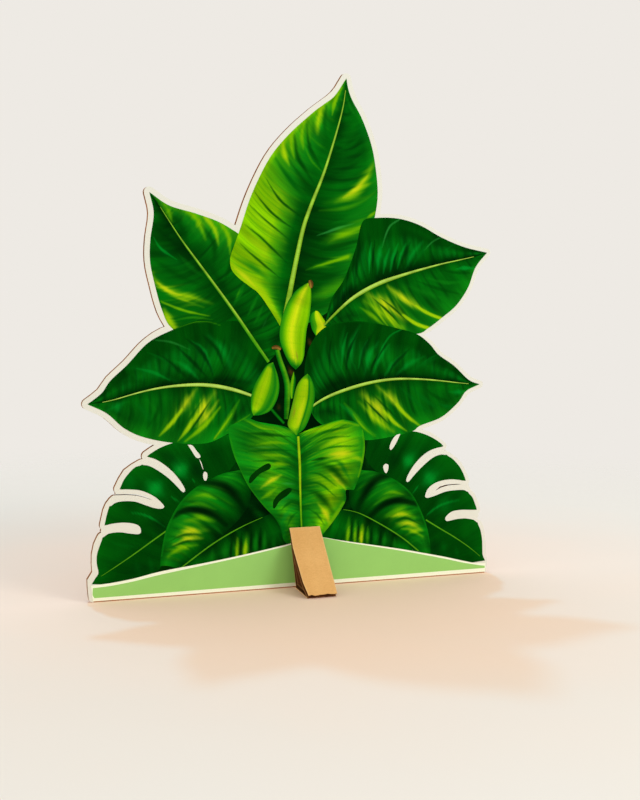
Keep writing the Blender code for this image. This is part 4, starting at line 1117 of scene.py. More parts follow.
UNDERGROWTH = (
    Blade("undergrowth",
        path(-70, 10, -62, 30, -58, 50, -52, 66, -50, 80, -52, 92, -50, 104, -40, 120, -32, 136, -24, 150,
             -16, 160, -10, 172),
        path(76, 10, 66, 30, 60, 50, 54, 66, 50, 80, 52, 92, 48, 104, 36, 120, 26, 136, 22, 150, 20, 160,
             10, 172), 0.06, Ground((0, INK, 0.3, NIGHT, 0.7, NIGHT, 1, INK), depth=0.3),
        (brush(SEA, (6, 80, -55, 91, -52, 82, -48, 72), rough=0.4),
         brush(TEAL, (2.4, 50, -54, 90, -51.6, 82, -49, 74), rough=0.4),
         brush(DARK, (5, 80, -47, 90, -42, 78, -38, 66)), brush(INK, (3, 90, -60, 88, -56, 78, -54, 70)),
         brush(LEAF, (7, 75, 44, 90, 44.6, 80, 42, 70), rough=0.4),
         brush(SEA, (4, 70, 46, 90, 46, 80, 44, 72)), brush(INK, (4, 90, 51, 92, 51.6, 82, 52, 72)),
         brush(DEEP, (5, 60, -34, 52, -27, 46, -20, 38), (6, 50, 34, 54, 31, 48, 26, 44)),
         brush(SOIL, (3, 70, 3.4, 147, 5, 144, 6, 141), (3.4, 70, -9, 131, -7, 127.6, -6, 124),
               (3, 50, -14.6, 109, -13.6, 105), (2.4, 40, 9, 122, 10.4, 118))), step=1.2, seed=101),
)


@dataclass(frozen=True)
class Patch:
    """Flat printed shapes of one colour, each with its own closed outline."""

    name: str
    rings: tuple[tuple[Edge, ...], ...]
    lift: float
    finish: str

    def build(self, drawing: Drawing, skin: float) -> Piece:
        """Model the shapes as thin plates that make one piece."""
        plates = [plate(f"{self.name}_{k}", outline(ring, 0.8), drawing, self.lift, skin)
                  for k, ring in enumerate(self.rings)]
        deselect()
        for each in plates:
            each.select_set(True)
        bpy.context.view_layer.objects.active = plates[0]
        if len(plates) > 1:
            bpy.ops.object.join()
        made = plates[0]
        made.name = made.data.name = self.name
        return made


def loop(*numbers: float) -> tuple[Edge, ...]:
    """One smooth closed outline through points given in turn, with a corner only where it starts."""
    points = path(*numbers)
    return ((*points, points[0]),)


PATCHES = (
    Patch("white_leaf_spots",
        (loop(-68.6, 87, -66, 86.6, -63.6, 83.6, -61.2, 80.4, -61.8, 79.2, -63.8, 79.6, -66, 83),
         loop(-61.9, 78.6, -60.6, 76.4, -59.4, 72, -60.6, 74.8),
         loop(-58.8, 71.2, -57.3, 70.4, -57.1, 67.8, -58.2, 65.8, -59.4, 67.2, -59.6, 69.8),
         loop(62.9, 89, 60, 88.2, 57.4, 85, 56, 81.4, 56.6, 79.4, 58.4, 80.8, 60.8, 84.6),
         loop(53.4, 71.2, 55.2, 70.6, 55.3, 68, 54, 65.4, 52.6, 67, 52, 69.8)), 0.32, "white"),
    Patch("heart_leaf_slots",
        (loop(-32.4, 63.9, -31.4, 67.4, -26.3, 71.7, -21, 74.4, -18.9, 73.2, -19.9, 71, -25.6, 68.4,
              -31, 63.4),
         loop(-17.6, 48.2, -17.2, 52.4, -13.2, 56.9, -8, 59.4, -6, 58, -9, 54.8, -13.4, 52, -16.4, 47.8)),
        0.38, "shadow"),
    Patch("mound_shade",
        ((path(-119, 11.6, -112, 12, -84.3, 19, -60, 22, -38.4, 25, -8.2, 30, 14.6, 33, 31.3, 28.4,
               62.5, 22, 93.8, 15, 112, 8.6), path(112, 8.6, 60, 8, 0, 8, -60, 8, -119, 8),
          path(-119, 8, -119, 11.6)),), 0.09, "shadow"),
    # The border over the mound is printed in the brightened white: painted light against the floor's shade.
    Patch("mound_border",
        ((path(-124.2, 9.6, -118, 10, -112.4, 10.4, -100, 12, -84.3, 15, -60, 18, -38.4, 21, -20, 24,
               -8.2, 26, 4, 28.6, 12, 29, 22, 26.9, 31.3, 25, 62.5, 18.9, 80, 15, 93.8, 11.8, 106, 8.6,
               114.6, 6.6, 121.8, 6), path(121.8, 6, 121.6, 0.6), path(121.6, 0.6, -123.4, 0.6),
          path(-123.4, 0.6, -124.2, 9.6)),), 0.44, "base_white_brightened"),
    Patch("mound",
        ((path(-123.2, 8.2, -118, 8.4, -112.4, 8.8, -100, 10.4, -84.3, 13.2, -60, 16.7, -38.4, 19.9,
               -20, 23, -8.2, 25.1, 4, 28.4, 12, 28.8, 22, 26.6, 31.3, 24.3, 62.5, 17.9, 80, 13.9,
               93.8, 10.6, 106, 7.4, 112.5, 6, 118, 4.9, 121.3, 4.4), path(121.3, 4.4, 121.2, 3),
          path(121.2, 3, 60, 2.9, 0, 2.8, -60, 2.6, -122.4, 2.4),
          path(-122.4, 2.4, -123.4, 4.4, -123.2, 8.2)),), 0.5, "mound"),
    # Painted contact shadow: a thin strip in the cut-edge kraft colour along the face's foot, for the dark
    # line where the board meets the floor.
    Patch("painted_contact_shadow_strip",
        ((path(-122.8, 0.05, 121, 0.05), path(121, 0.05, 121.2, 0.6), path(121.2, 0.6, -123, 0.6),
          path(-123, 0.6, -122.8, 0.05)),), 0.12, "edge"),
)


class Nodes:
    """Short way to add and join the shader nodes of one material."""

    def __init__(self, name: str) -> None:
        """Start a material with only its shader and output."""
        self.material = bpy.data.materials.new(name)
        self.material.use_nodes = True
        self.tree = self.material.node_tree
        self.shader = self.tree.nodes["Principled BSDF"]

    def add(self, kind: str, inputs: dict | None = None, **settings: object) -> bpy.types.Node:
        """Add a node.

        Args:
            kind: The node's type name.
            inputs: Values or sockets for its inputs by name or number.
            settings: Its own properties.

        Returns:
            The new node.
        """
        node = self.tree.nodes.new(kind)
        for name, value in settings.items():
            setattr(node, name, value)
        for name, value in (inputs or {}).items():
            self.feed(node.inputs[name], value)
        return node

    def feed(self, socket: Socket, value: object) -> None:
        """Give an input a value, or join it to another node's output."""
        if isinstance(value, Socket):
            self.tree.links.new(value, socket)
        else:
            socket.default_value = value

    def noise(self, vector: Socket, stretch: Three, detail: float = 2.0, roughness: float = 0.5) -> Socket:
        """Noise with its own number of cells per unit along each axis."""
        mapped = self.add("ShaderNodeMapping", {"Vector": vector, "Scale": stretch})
        found = self.add("ShaderNodeTexNoise", {"Vector": mapped.outputs[0], "Scale": 1.0, "Detail": detail,
                                                "Roughness": roughness})
        return found.outputs[0]

    def span(self, value: Socket, low: float, high: float, to_low: float, to_high: float) -> Socket:
        """The value moved from one range to another."""
        return self.add("ShaderNodeMapRange", {"Value": value, "From Min": low, "From Max": high,
                                               "To Min": to_low, "To Max": to_high}).outputs[0]

    def spread(self, noise: Socket, low: float, high: float) -> Socket:
        """Noise, which mostly stays within NOISE_RANGE, spread over another range."""
        return self.span(noise, *NOISE_RANGE, low, high)

    def maths(self, operation: str, one: object, two: object = 0.0) -> Socket:
        """One arithmetic step."""
        return self.add("ShaderNodeMath", {0: one, 1: two}, operation=operation).outputs[0]

    def blend(self, kind: str, share: object, one: object, two: object) -> Socket:
        """Two colours mixed."""
        node = self.add("ShaderNodeMix", data_type="RGBA", blend_type=kind)
        self.feed(node.inputs[0], share)
        self.feed(node.inputs[6], one)
        self.feed(node.inputs[7], two)
        return node.outputs[2]

    def ramp(self, value: Socket, stops: tuple[tuple[float, Three], ...]) -> Socket:
        """Colour for a value, between stops."""
        node = self.add("ShaderNodeValToRGB", {0: value})
        elements = node.color_ramp.elements
        while len(elements) < len(stops):
            elements.new(0.5)
        for element, (at, colour) in zip(elements, stops):
            element.position = at
            element.color = (*colour, 1)
        return node.outputs[0]

    def bump(self, height: Socket, distance: float, strength: float = 1.0,
             under: Socket | None = None) -> Socket:
        """Surface relief of a height from 0 to 1, in metres."""
        node = self.add("ShaderNodeBump", {"Height": height, "Distance": distance, "Strength": strength})
        if under is not None:
            self.tree.links.new(under, node.inputs["Normal"])
        return node.outputs[0]

    def dress(self, **inputs: object) -> bpy.types.Material:
        """Join values or nodes to the shader's inputs, named with _ for a space."""
        for name, value in inputs.items():
            self.feed(self.shader.inputs[name.replace("_", " ")], value)
        return self.material


def display(red: int, green: int, blue: int) -> Three:
    """Linear colour of a display colour given from 0 to 255."""
    return tuple(float(v) for v in linear(np.array((red, green, blue)) / 255))


@dataclass(frozen=True)
class PrintFinish:
    """Satin ink on coated paper: painted colour with fine brush streaks along the veins."""

    name: str = "printed_leaf"
    streak: float = 0.09
    along: tuple[float, float] = (150, 7)
    sheen_level: float = 0.0
    roughness: float = 0.5

    def make(self) -> bpy.types.Material:
        """Build the material."""
        n = Nodes(self.name)
        veins = n.add("ShaderNodeUVMap", uv_map=VEIN_MAP).outputs[0]
        place = n.add("ShaderNodeTexCoord").outputs["Object"]
        painted = n.add("ShaderNodeVertexColor", layer_name=PAINT).outputs[0]
        fine = n.noise(veins, (*self.along, 1), 3.0, 0.6)
        broad = n.noise(veins, (self.along[0] / 4, self.along[1] / 2.5, 1), 2.0)
        tooth = n.noise(place, (2600, 2600, 2600), 1.0)
        light = n.maths("ADD", n.spread(fine, 1 - self.streak, 1 + self.streak),
                        n.spread(broad, -self.streak * 0.7, self.streak * 0.7))
        light = n.maths("ADD", light, n.spread(tooth, -0.03, 0.03))
        lit = n.add("ShaderNodeVectorMath", {0: painted, 1: light}, operation="MULTIPLY").outputs[0]
        relief = n.bump(fine, 0.00002, 0.35, n.bump(tooth, 0.00001, 0.4))
        rough = n.spread(fine, self.roughness - 0.06, self.roughness + 0.08)
        return n.dress(Base_Color=lit, Roughness=rough, Specular_IOR_Level=self.sheen_level, Normal=relief)


@dataclass(frozen=True)
class FlatPrintFinish:
    """One printed colour on coated paper, with slight ink mottle and paper tooth."""

    name: str
    colour: Colour
    mottle: float = 0.03
    roughness: float = 0.5

    def make(self) -> bpy.types.Material:
        """Build the material."""
        n = Nodes(self.name)
        place = n.add("ShaderNodeTexCoord").outputs["Object"]
        cloud = n.noise(place, (60, 60, 60), 3.0)
        tooth = n.noise(place, (2200, 2200, 2200), 2.0)
        light = n.spread(cloud, 1 - self.mottle, 1 + self.mottle)
        light = n.maths("ADD", light, n.spread(tooth, -0.02, 0.02))
        base = display(*self.colour)
        lit = n.add("ShaderNodeVectorMath", {0: base, 1: light}, operation="MULTIPLY").outputs[0]
        rough = n.spread(tooth, self.roughness - 0.05, self.roughness + 0.08)
        relief = n.bump(tooth, 0.00001, 0.5)
        return n.dress(Base_Color=lit, Roughness=rough, Specular_IOR_Level=0.0, Normal=relief)


@dataclass(frozen=True)
class KraftFinish:
    """Unbleached liner board: fibres, painted shade in the flute troughs, specks, and paler edges and folds
    of wear and painted highlight.
    """

    name: str
    dark: Colour
    light: Colour
    worn_and_lit: Colour | None = None
    flute_trough_shade: float = 0.0
    roughness: float = 0.85

    def make(self) -> bpy.types.Material:
        """Build the material."""
        n = Nodes(self.name)
        place = n.add("ShaderNodeTexCoord").outputs["Object"]
        fibres = n.noise(place, (2400, 2400, 420), 4.0, 0.65)
        cross = n.noise(place, (500, 900, 2600), 3.0, 0.6)
        cloud = n.noise(place, (70, 70, 45), 3.0)
        mix = n.maths("ADD", n.span(fibres, 0.25, 0.75, 0, 0.45), n.span(cross, 0.25, 0.75, 0, 0.25))
        mix = n.maths("ADD", mix, n.span(cloud, 0.25, 0.75, 0, 0.3))
        colour = n.ramp(mix, ((0.12, display(*self.dark)), (0.86, display(*self.light))))
        specks = n.span(n.noise(place, (1300, 1300, 700), 1.0), 0.71, 0.76, 0, 0.5)
        colour = n.blend("MIX", specks, colour, (*display(*self.dark), 1))
        relief = n.bump(fibres, 0.00006, 0.5, n.bump(cross, 0.00004, 0.4))
        if self.flute_trough_shade:
            across = n.add("ShaderNodeSeparateXYZ", {0: place}).outputs[0]
            wobble = n.span(cloud, 0.2, 0.8, -0.0002, 0.0002)
            turn = n.maths("MULTIPLY", n.maths("ADD", across, wobble), 2 * math.pi / (FLUTE_PITCH * MM))
            wave = n.span(n.maths("SINE", turn), -1, 1, 0, 1)
            # Painted shade: the colour darkens in the trough between flutes, over the relief that the bump
            # gives.
            trough_shade = n.span(wave, 0.0, 0.5, self.flute_trough_shade, 0)
            colour = n.blend("MULTIPLY", trough_shade, colour, (0.72, 0.7, 0.66, 1))
            relief = n.bump(wave, 0.00012, 0.6, relief)
        # Paler colour where the attribute marks wear and painted highlight.
        if self.worn_and_lit is not None:
            wear_and_highlight = n.add("ShaderNodeAttribute", attribute_name=WEAR_AND_HIGHLIGHT).outputs["Fac"]
            wear_and_highlight_mask = n.maths("MULTIPLY", wear_and_highlight, n.span(fibres, 0.3, 0.6, 0.75, 1.1))
            colour = n.blend("MIX", wear_and_highlight_mask, colour, (*display(*self.worn_and_lit), 1))
        return n.dress(Base_Color=colour, Roughness=self.roughness, Specular_IOR_Level=0.12, Normal=relief)


@dataclass(frozen=True)
class TapeFinish:
    """Milky double-sided tape with a soft sheen."""

    name: str = "double_sided_tape"

    def make(self) -> bpy.types.Material:
        """Build the material."""
        n = Nodes(self.name)
        place = n.add("ShaderNodeTexCoord").outputs["Object"]
        cloud = n.noise(place, (400, 400, 400), 3.0)
        colour = n.ramp(cloud, ((0.3, display(214, 204, 176)), (0.7, display(232, 226, 206))))
        relief = n.bump(cloud, 0.00003, 0.4)
        return n.dress(Base_Color=colour, Roughness=0.4, Specular_IOR_Level=0.3, Normal=relief)


class Finishes:
    """Every material of the standee, by the name its pieces ask for."""

    def __init__(self) -> None:
        """Make the materials."""
        board_kraft, inner_worn_and_lit = ((170, 122, 74), (206, 160, 108)), (206, 156, 96)
        self.by_name = {
            "leaf": PrintFinish().make(),
            "fruit": PrintFinish("printed_fruit", 0.06, (5, 110)).make(),
            "white": FlatPrintFinish("white_print_border", CREAM.value, 0.012).make(),
            # Painted light: a brighter, greener copy of the white print for the border along the base,
            # against the shade and warm bounce from the floor.
            "base_white_brightened": FlatPrintFinish("white_base_border_brightened", (252, 254, 226), 0.012).make(),
            "shadow": FlatPrintFinish("printed_shadow", (4, 48, 4), 0.35).make(),
            "mound": FlatPrintFinish("printed_mound", MEADOW.value, 0.02).make(),
            "edge": KraftFinish("cut_liner_edge", (150, 86, 36), (206, 134, 70)).make(),
            # Painted shade: near-black kraft for the walls of the two thin slits, for the shade inside the
            # narrow cuts.
            "slit": KraftFinish("slit_wall", (44, 28, 8), (74, 52, 20)).make(),
            "board_back": KraftFinish("board_back_kraft", *board_kraft, flute_trough_shade=0.3).make(),
            "medium": KraftFinish("fluted_medium", (136, 74, 30), (190, 118, 58)).make(),
            # Pale colours for the foot: edge wear, and painted highlight on its edges and top fold.
            "foot": KraftFinish("foot_kraft", (214, 156, 86), (242, 190, 118), (250, 214, 154), 0.05).make(),
            # Painted shade: the foot's inner liner and flutes are much darker copies of its kraft, for the
            # shade inside the folded triangle.
            "foot_inside_shaded": KraftFinish("foot_inner_kraft_painted_shade", (84, 42, 16), (132, 78, 38), inner_worn_and_lit).make(),
            "foot_medium_painted_shade": KraftFinish("foot_medium_painted_shade", (56, 28, 12), (100, 58, 28)).make(),
            "tape": TapeFinish().make(),
        }

    def give(self, made: Piece, name: str, slot: Slot) -> Piece:
        """Dress a piece in one finish and let it ride on the body."""
        made.data.materials.clear()
        made.data.materials.append(self.by_name[name])
        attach(made, BODY)
        LOG.info("%s: %d faces, %s", made.name, len(made.data.polygons), name)
        return made


@dataclass(frozen=True)
class Artwork:
    """All the printed pieces in front of the face board."""

    drawing: Drawing
    finishes: Finishes
    skin: float = 0.04
    groups: tuple[tuple[Blade, ...], ...] = (
        UNDERGROWTH, CROWN, UPPER_LEFT, UPPER_RIGHT, MIDDLE_LEFT, MIDDLE_RIGHT, SPLIT_LEFT, SPLIT_RIGHT,
        INNER_LEFT, INNER_RIGHT, HEART, STALKS, BANANAS)

    def build(self) -> None:
        """Print every leaf, fruit and flat shape."""
        for group in self.groups:
            for blade in group:
                self.finishes.give(blade.build(self.drawing, self.skin), blade.finish, Slot.PRINT)
        for patch in PATCHES:
            self.finishes.give(patch.build(self.drawing, self.skin), patch.finish, Slot.PRINT)


@dataclass(frozen=True)
class Board:
    """The die-cut board: white-bordered face liner, wavy medium and kraft back liner, with painted shade on
    the walls of its two thin slits.
    """

    finishes: Finishes
    nodes: dict[str, Piece]
    steps: int = 12
    medium: float = 0.3
    pressed_edge: float = 0.07
    overshoot: float = 1.01
    spill: float = 0.01
    half_cut: float = 0.004
    slits: tuple[tuple[float, float, float, float], ...] = ((-107, -85.5, 55, 61.5), (88.5, 108, 52, 58))

    def in_slit(self, at: Vector) -> bool:
        """Whether a place is in one of the thin slits whose walls get painted shade, each given as left,
        right, low and high in millimetres.
        """
        x, z = at.x / MM, at.z / MM
        return any(left < x < right and low < z < high for left, right, low, high in self.slits)

    def liner(self, node: str, name: str, finish: str) -> Piece:
        """One flat liner cut to the board's outline, with softly pressed edges.

        Args:
            node: The CAD node that it stands for.
            name: The new piece's name.
            finish: The finish of its broad sides.

        Returns:
            The liner.
        """
        made = sheet_copy(name, self.nodes[node])
        sharp = math.radians(60)
        settle(made, "BEVEL", width=self.pressed_edge * MM, segments=1, limit_method="ANGLE",
               angle_limit=sharp)
        self.finishes.give(made, finish, Slot.LINER)
        for other in ("edge", "slit"):
            made.data.materials.append(self.finishes.by_name[other])
        for face in made.data.polygons:
            # Walls inside the slits take the painted-shade finish.
            face.material_index = 0 if abs(face.normal.y) > 0.5 else 2 if self.in_slit(face.center) else 1
        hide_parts(node)
        return made

    def corrugation(self) -> Piece:
        """Wavy medium that touches both liners, cut to the board's outline."""
        low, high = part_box("board_fluting")
        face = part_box("printed_face_sheet")[1][1]
        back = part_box("board_back_liner")[0][1]
        wide, tall = high[0] - low[0], high[2] - low[2]
        columns = round(wide / MM / FLUTE_PITCH * self.steps)
        deselect()
        bpy.ops.mesh.primitive_grid_add(x_subdivisions=columns, y_subdivisions=2, size=1)
        made = bpy.context.active_object
        made.name = made.data.name = "corrugated_medium"
        flat = coordinates(made)
        x = low[0] + (flat[:, 0] + 0.5) * wide * self.overshoot
        swing = (back - face - self.medium * MM) / 2
        y = (face + back) / 2 + swing * np.sin(2 * math.pi * x / (FLUTE_PITCH * MM))
        z = low[2] - self.spill + (flat[:, 1] + 0.5) * (tall + 2 * self.spill)
        move_vertices(made, np.stack([x, y, z], axis=1))
        settle(made, "SOLIDIFY", thickness=self.medium * MM, offset=0.0)
        cutter = sheet_copy("outline_cutter", self.nodes["printed_face_sheet"])
        places = coordinates(cutter)
        middle = (places[:, 1].min() + places[:, 1].max()) / 2
        places[:, 1] = np.where(places[:, 1] > middle, self.half_cut, -self.half_cut)
        move_vertices(cutter, places)
        settle(made, "BOOLEAN", operation="INTERSECT", solver="EXACT", object=cutter)
        bpy.data.objects.remove(cutter)
        self.finishes.give(made, "medium", Slot.MEDIUM)
        made.data.materials.append(self.finishes.by_name["slit"])
        for each in made.data.polygons:
            # Flutes inside the slits take the painted-shade finish.
            each.material_index = 1 if self.in_slit(each.center) else 0
        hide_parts("board_fluting")
        return made

    def build(self) -> None:
        """Build the three layers."""
        self.liner("printed_face_sheet", "white_face_board", "white")
        self.liner("board_back_liner", "kraft_back_board", "board_back")
        self.corrugation()


@dataclass(frozen=True)
class FoldedFoot:
    """One strip of corrugated board folded into a closed triangle, as tall as the CAD strip.

    Lengths are in millimetres. The lefts are its left side's places at the stations along its front; the edge
    wear and highlight and the painted ridge highlight along the top fold each give how far they reach and how
    strong they get.
    """

    prefix: str
    name: str
    drawing: Drawing
    finishes: Finishes
    nodes: dict[str, Piece]
    thickness: float = 3.0
    liner: float = 0.32
    toe_clearance: float = 0.6
    right: float = 11.2
    heel: float = -3.2
    lefts: tuple[float, ...] = (-6.2, -7.6, -8.5, -7.6)
    stations: tuple[float, ...] = (0.0, 0.2, 0.72, 1.0)
    fold: float = 0.9
    fold_shares: tuple[float, ...] = (0.2, 0.4, 0.6, 0.8)
    front_points: int = 22
    back_points: int = 10
    base_points: int = 12
    columns: int = 42
    half_medium: float = 0.17
    wave_shift: float = 2.0
    tear_cells: float = 9
    base_skew: float = 0.3
    edge_wear_and_highlight: tuple[float, float] = (0.6, 0.35)
    ridge_highlight: tuple[float, float] = (3.2, 0.7)
    nudge: float = 0.00001

    def measure(self) -> tuple[float, float, float, float]:
        """The CAD strip's heel and toe depths and height in millimetres, and its side (-1 front, 1 rear)."""
        low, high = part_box(self.prefix + "_outer_liner")
        side = -1.0 if low[1] < -0.01 else 1.0
        near, far = (-high[1], -low[1]) if side < 0 else (low[1], high[1])
        return near / MM, far / MM, high[2] / MM, side

    def corners(self) -> list[tuple[Array, Array]]:
        """The outer face's ends and folds, each with its step inward per millimetre of depth."""
        heel, far, top, _side = self.measure()
        apex = np.array((heel, top))
        first_guess, passes = 2.0, 12
        outer = np.array((far, first_guess))
        for _pass in range(passes):
            rise = (apex - outer) / np.hypot(*(apex - outer))
            inward = np.array((-rise[1], rise[0]))
            toe = np.array((far + inward[0] * self.thickness, 0.0))
            outer = toe - inward * self.thickness
        down = np.array((0.0, -1.0))
        half = math.acos(float(-rise @ down)) / 2
        mitre = (down - rise) / np.hypot(*(down - rise)) / math.sin(half)
        end = np.array((toe[0] - self.toe_clearance, 0.0))
        foot = np.array((heel, 0.0))
        return [(outer, inward), (apex, mitre), (foot, np.array((1.0, 1.0))), (end, rise / rise[1])]

    def strip_points(self, inset: Array, trim: Array) -> Array:
        """Points along the strip at a depth below its outer face, one row a column of the strip.

        Args:
            inset: Depth below the outer face for each column, in millimetres.
            trim: How much shorter the toe end is in each column.

        Returns:
            Array of columns by points by depth and height.
        """
        spots = [point[None] + inset[:, None] * step[None] for point, step in self.corners()]
        first = spots[1] - spots[0]
        first /= np.hypot(*first.T)[:, None]
        spots[0] = spots[0] + first * trim[:, None]
        rows = []
        for k, count in enumerate((self.front_points, self.back_points, self.base_points)):
            start, end = spots[k], spots[k + 1]
            way = (end - start) / np.hypot(*(end - start).T)[:, None]
            a = start + way * (self.fold if k else 0)
            b = end - way * (self.fold if k < 2 else 0)
            rows += [a + (b - a) * share for share in np.linspace(0, 1, count)]
            if k < 2:
                after = spots[k + 2] - end
                after = end + after / np.hypot(*after.T)[:, None] * self.fold
                for t in self.fold_shares:
                    rows.append((1 - t) ** 2 * b + 2 * t * (1 - t) * end + t * t * after)
        return np.stack(rows, axis=1)

    def left_edge(self, rows: int) -> Array:
        """Left side of the strip for each row along it."""
        front = np.interp(np.linspace(0, 1, self.front_points), self.stations, self.lefts)
        folded = len(self.fold_shares)
        rest = rows - self.front_points - folded
        knee = self.back_points / rest
        back = np.interp(np.linspace(0, 1, rest), (0, knee, 1),
                         (self.lefts[-1], self.heel, self.lefts[0] + self.base_skew))
        return np.concatenate([front, np.full(folded, self.lefts[-1]), back])

    def layer(self, suffix: str, top: float, bottom: float, wavy: bool, ragged: float, finish: str,
              slot: Slot) -> Piece:
        """One paper layer of the strip as a closed solid.

        Args:
            suffix: What the layer is called after the foot's name.
            top: Depth of its outer side below the strip's outer face, in millimetres.
            bottom: Depth of its inner side.
            wavy: Whether it swings between the two liners as the medium does.
            ragged: How uneven its toe end is, in millimetres.
            finish: Its finish.
            slot: Its material slot; not used.

        Returns:
            The piece.
        """
        count = self.columns + 1
        share = np.linspace(0, 1, count)
        x = self.heel + (self.right - self.heel) * share
        swing = np.zeros(count)
        if wavy:
            reach = (self.thickness - 2 * self.liner - (bottom - top)) / 2
            swing = reach * np.sin(2 * math.pi * (x + self.wave_shift) / FLUTE_PITCH)
        seed = 7 if wavy else 19
        trim = ragged * grain(seed, share * self.tear_cells, np.full(count, float(top)))
        outer, inner = self.strip_points(top + swing, trim), self.strip_points(bottom + swing, trim)
        rows = outer.shape[1]
        left = self.left_edge(rows)
        _near, _far, _top, side = self.measure()
        middle = (min(self.lefts) + self.right) / 2
        deselect()
        bpy.ops.mesh.primitive_grid_add(x_subdivisions=self.columns, y_subdivisions=rows - 1, size=2)
        made = bpy.context.active_object
        made.name = made.data.name = f"{self.name}_{suffix}"
        flat = coordinates(made)
        i = np.rint((flat[:, 0] + 1) / 2 * self.columns).astype(int)
        j = np.rint((flat[:, 1] + 1) / 2 * (rows - 1)).astype(int)
        strip = left[j] + (self.right - left[j]) * share[i]
        across = strip if side < 0 else 2 * middle - strip

        def solid(points: Array) -> Array:
            """Places in the frame for the strip's points."""
            depth, height = points[i, j].T
            return np.stack([across + self.drawing.shift, depth * side, height], axis=1) * MM

        front, back = solid(outer), solid(inner)
        move_vertices(made, front)
        here = len(made.data.vertices)
        activate(made)
        bpy.ops.object.mode_set(mode="EDIT")
        bpy.ops.mesh.select_all(action="SELECT")
        bpy.ops.mesh.extrude_region_move(TRANSFORM_OT_translate={"value": (0, 0, self.nudge)})
        bpy.ops.object.mode_set(mode="OBJECT")
        places = coordinates(made)
        moved = places[here:] - (0, 0, self.nudge)
        order = np.array([int(np.argmin(((front - spot) ** 2).sum(axis=1))) for spot in moved])
        places[here:] = back[order]
        move_vertices(made, places)
        edit(made, ("normals_make_consistent", {"inside": False}))
        if self.volume(made) < 0:
            edit(made, ("flip_normals", {}))
        # Paler edges, part wear and part painted highlight, and a painted highlight along the top fold.
        edge = np.abs(np.minimum(strip - left[j], self.right - strip))
        ridge = np.abs(j - self.front_points - len(self.fold_shares) / 2)
        worn_and_lit = [np.clip(1 - away / reach, 0, 1) * most
                for away, (reach, most) in ((edge, self.edge_wear_and_highlight), (ridge, self.ridge_highlight))]
        wear_and_highlight = np.maximum(*worn_and_lit)
        attribute = made.data.attributes.new(WEAR_AND_HIGHLIGHT, "FLOAT", "POINT")
        attribute.data.foreach_set("value", np.concatenate([wear_and_highlight, wear_and_highlight[order]]))
        self.finishes.give(made, finish, slot)
        return made

    @staticmethod
    def volume(made: Piece) -> float:
        """Signed volume that the faces close, positive where they point out."""
        shape = bmesh.new()
        shape.from_mesh(made.data)
        result = shape.calc_volume(signed=True)
        shape.free()
        return result

    def build(self) -> None:
        """Build the strip's three layers and dress its tape."""
        inner = self.thickness - self.liner
        outer_liner = self.layer("outer_paper", 0, self.liner, False, 0.7, "foot", Slot.LINER)
        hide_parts(self.prefix + "_outer_liner")
        top, bottom = self.thickness / 2 - self.half_medium, self.thickness / 2 + self.half_medium
        # The flutes and the inner liner below take the darker, painted-shade kraft.
        medium = self.layer("flutes", top, bottom, True, 0.9, "foot_medium_painted_shade", Slot.MEDIUM)
        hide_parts(self.prefix + "_fluting")
        inner_liner = self.layer("inner_paper", inner, self.thickness, False, 0.2, "foot_inside_shaded", Slot.LINER)
        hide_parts(self.prefix + "_inner_liner")
        tape = self.nodes[self.prefix + "_tape"]
        tape.data.materials.clear()
        tape.data.materials.append(self.finishes.by_name["tape"])


